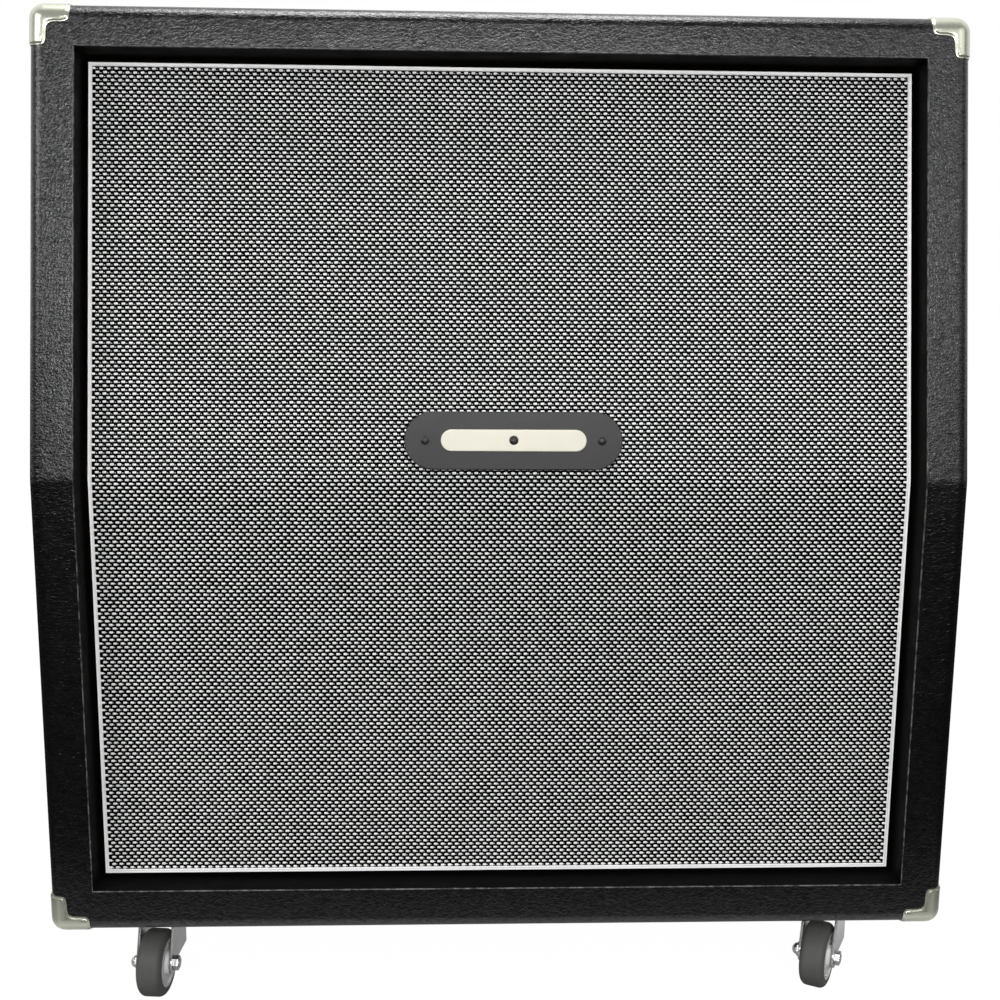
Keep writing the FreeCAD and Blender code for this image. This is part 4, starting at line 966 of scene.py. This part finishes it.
def makeCaps(end):
    whole = bmesh.new()
    for level in ("low", "high"):
        bm = shapeCap(end, level)
        twin = bmesh.ops.duplicate(bm, geom=[*bm.verts, *bm.edges, *bm.faces])
        bmesh.ops.scale(bm, verts=vertsOf(twin), vec=(-1, 1, 1))
        bmesh.ops.reverse_faces(bm, faces=facesOf(twin))
        part = bpy.data.meshes.new("cap part")
        bm.to_mesh(part)
        bm.free()
        whole.from_mesh(part)
        bpy.data.meshes.remove(part)
    addPiece(
        end + "_plated_caps", whole, [platedSteel],
        replaces=[end + "_corner_caps"], sharp=60,
    )


for end in ("front", "rear"):
    makeCaps(end)
print("corner caps made")

# finishes of the CAD nodes that stay
keptFinish = {
    plywood: [
        "left_side_panel", "right_side_panel", "top_panel", "bottom_panel", "left_front_stile",
        "right_front_stile", "bottom_front_rail", "top_front_rail", "baffle_cleats", "bend_batten",
        "centre_brace", "rear_battens", "back_panel",
    ],
    recessBlack: ["lower_baffle", "upper_baffle"],
    vinyl: ["back_panel_covering"],
    mouldedBlack: ["left_handle", "right_handle"],
    plateBlack: ["jack_plate"],
    socketBlack: ["input_sockets"],
    zincSteel: ["caster_plates", "baffle_screws"],
    basketBlack: ["speaker_baskets"],
    surroundCloth: ["speaker_surrounds"],
    magnetIron: ["speaker_magnets"],
    blackScrew: ["speaker_bolts"],
    leadRubber: ["speaker_leads"],
    conePaper: [speaker + "_cone" for speaker in speakers],
}
for material, kept in keptFinish.items():
    for node in kept:
        nodes[node].data.materials.clear()
        nodes[node].data.materials.append(material)
print("kept nodes finished")

# studio: glowing floor, softboxes in front, at both sides and above, white surround
studio = {
    "floorSize": 40.0,
    "floorColour": (0.035, 0.035, 0.035, 1.0),
    "floorGlow": (0.985, 1.0),   # near the cabinet and away from it; the dimmer value near it is painted contact shade
    "whitening": (0.2, 1.2),    # distances from the cabinet, for the glow
    # polished surfaces see a white sheet on the floor and an unlit room in front
    "sheet": (0.0, 0.24),       # distances between which the sheet fades out
    "shade": 0.35,              # of the sheet under the cabinet
    "shadeEdge": (-0.03, 0.05),
    "roomGlow": 0.10,
    "roomEdge": (-0.3, 0.2),    # headings between which the room turns white
    "ambient": 0.25,
    "lamps": {
        "front_softbox": {"place": (0.42, -2.6, 1.55), "size": (3.2, 1.75), "watts": 16.5},
        "key_softbox": {"place": (0.0, -2.5, 1.4), "size": (1.7, 0.55), "watts": 29.0},
        "left_softbox": {"place": (-2.3, -1.9, 2.0), "size": (1.5, 1.5), "watts": 34.0},
        "right_softbox": {"place": (2.3, -1.9, 2.0), "size": (1.5, 1.5), "watts": 9.0},
        "overhead_softbox": {"place": (-0.05, 0.0, 2.6), "size": (1.35, 0.9), "watts": 41.0},
    },
}


# camera rays, and rays that polished or clear surfaces send out
def seenRays(tree):
    path = addNode(tree, "LightPath")
    sent = (path.outputs["Is Glossy Ray"], path.outputs["Is Transmission Ray"])
    return path.outputs["Is Camera Ray"], combine(tree, "MAXIMUM", *sent)


def layFloor():
    bm = bmesh.new()
    bmesh.ops.create_grid(bm, x_segments=1, y_segments=1, size=studio["floorSize"] / 2)
    mesh = bpy.data.meshes.new("studio_floor")
    bm.to_mesh(mesh)
    bm.free()
    floor = bpy.data.objects.new("studio_floor", mesh)
    bpy.context.scene.collection.objects.link(floor)
    material, tree, shader = startMaterial(
        "pale_floor", Base_Color=studio["floorColour"], Roughness=0.9, Specular_IOR_Level=0.0
    )
    shader.inputs["Emission Color"].default_value = (1.0, 1.0, 1.0, 1.0)
    direct, mirrored = seenRays(tree)
    parts = addNode(tree, "SeparateXYZ", {0: surfacePlace(tree)}).outputs
    aside = combine(tree, "SUBTRACT", combine(tree, "ABSOLUTE", parts["X"], 0.0), halfWidth)
    beyond = combine(tree, "SUBTRACT", combine(tree, "ABSOLUTE", parts["Y"], 0.0), back)
    outside = combine(tree, "MAXIMUM", aside, beyond)
    # painted shadow: the sheet that polished surfaces see is dimmed under the cabinet
    shaded = spread(tree, outside, studio["shade"], 1.0, *studio["shadeEdge"])
    onSheet = combine(tree, "MULTIPLY", shaded, spread(tree, outside, 1.0, 0.0, *studio["sheet"]))
    seen = combine(tree, "MAXIMUM", direct, combine(tree, "MULTIPLY", mirrored, onSheet))
    # painted contact shade: the glow is a little dimmer near the cabinet
    glowing = spread(tree, outside, *studio["floorGlow"], *studio["whitening"])
    tree.links.new(combine(tree, "MULTIPLY", seen, glowing), shader.inputs["Emission Strength"])
    mesh.materials.append(material)


def lightStudio():
    world = bpy.data.worlds.new("white_surround")
    bpy.context.scene.world = world
    world.use_nodes = True
    tree = world.node_tree
    background = tree.nodes["Background"]
    background.inputs["Color"].default_value = (1.0, 1.0, 1.0, 1.0)
    direct, mirrored = seenRays(tree)
    around = addNode(tree, "TexCoord").outputs["Generated"]
    heading = addNode(tree, "SeparateXYZ", {0: around}).outputs["Y"]
    room = spread(tree, heading, studio["roomGlow"], 1.0, *studio["roomEdge"])
    backdrop = combine(tree, "MULTIPLY", mirrored, room)
    unseen = combine(tree, "SUBTRACT", 1.0, combine(tree, "MAXIMUM", direct, mirrored))
    fill = combine(tree, "MULTIPLY", unseen, studio["ambient"])
    strength = combine(tree, "ADD", combine(tree, "MAXIMUM", direct, backdrop), fill)
    tree.links.new(strength, background.inputs["Strength"])
    for name, spec in studio["lamps"].items():
        lamp = bpy.data.lights.new(name, "AREA")
        lamp.shape = "RECTANGLE"
        lamp.size, lamp.size_y = spec["size"]
        lamp.energy = spec["watts"]
        box = bpy.data.objects.new(name, lamp)
        aim = (bendPoint - Vector(spec["place"])).to_track_quat("-Z", "Y")
        box.matrix_world = Matrix.Translation(spec["place"]) @ aim.to_matrix().to_4x4()
        bpy.context.scene.collection.objects.link(box)


layFloor()
lightStudio()

# camera at the photograph's view
view = {
    "aside": -0.0438,
    "away": 1.0481,         # in front of the cabinet
    "rise": 0.5584,         # above its base
    "pitch": 10.028,        # degrees below the level
    "yaw": 2.173,           # degrees to the right
    "roll": 0.504,
    "lens": 47.52,
    "sensor": 36.0,
}
cameraData = bpy.data.cameras.new("front_camera")
cameraData.lens = view["lens"]
cameraData.sensor_width = view["sensor"]
camera = bpy.data.objects.new("front_camera", cameraData)
camera.matrix_world = (
    Matrix.Translation((view["aside"], front - view["away"], base + view["rise"]))
    @ Matrix.Rotation(radians(-view["yaw"]), 4, "Z")
    @ Matrix.Rotation(radians(90 - view["pitch"]), 4, "X")
    @ Matrix.Rotation(radians(view["roll"]), 4, "Z")
)
bpy.context.scene.collection.objects.link(camera)
bpy.context.scene.camera = camera
bpy.context.scene.view_settings.view_transform = "Standard"
print("studio and camera set")
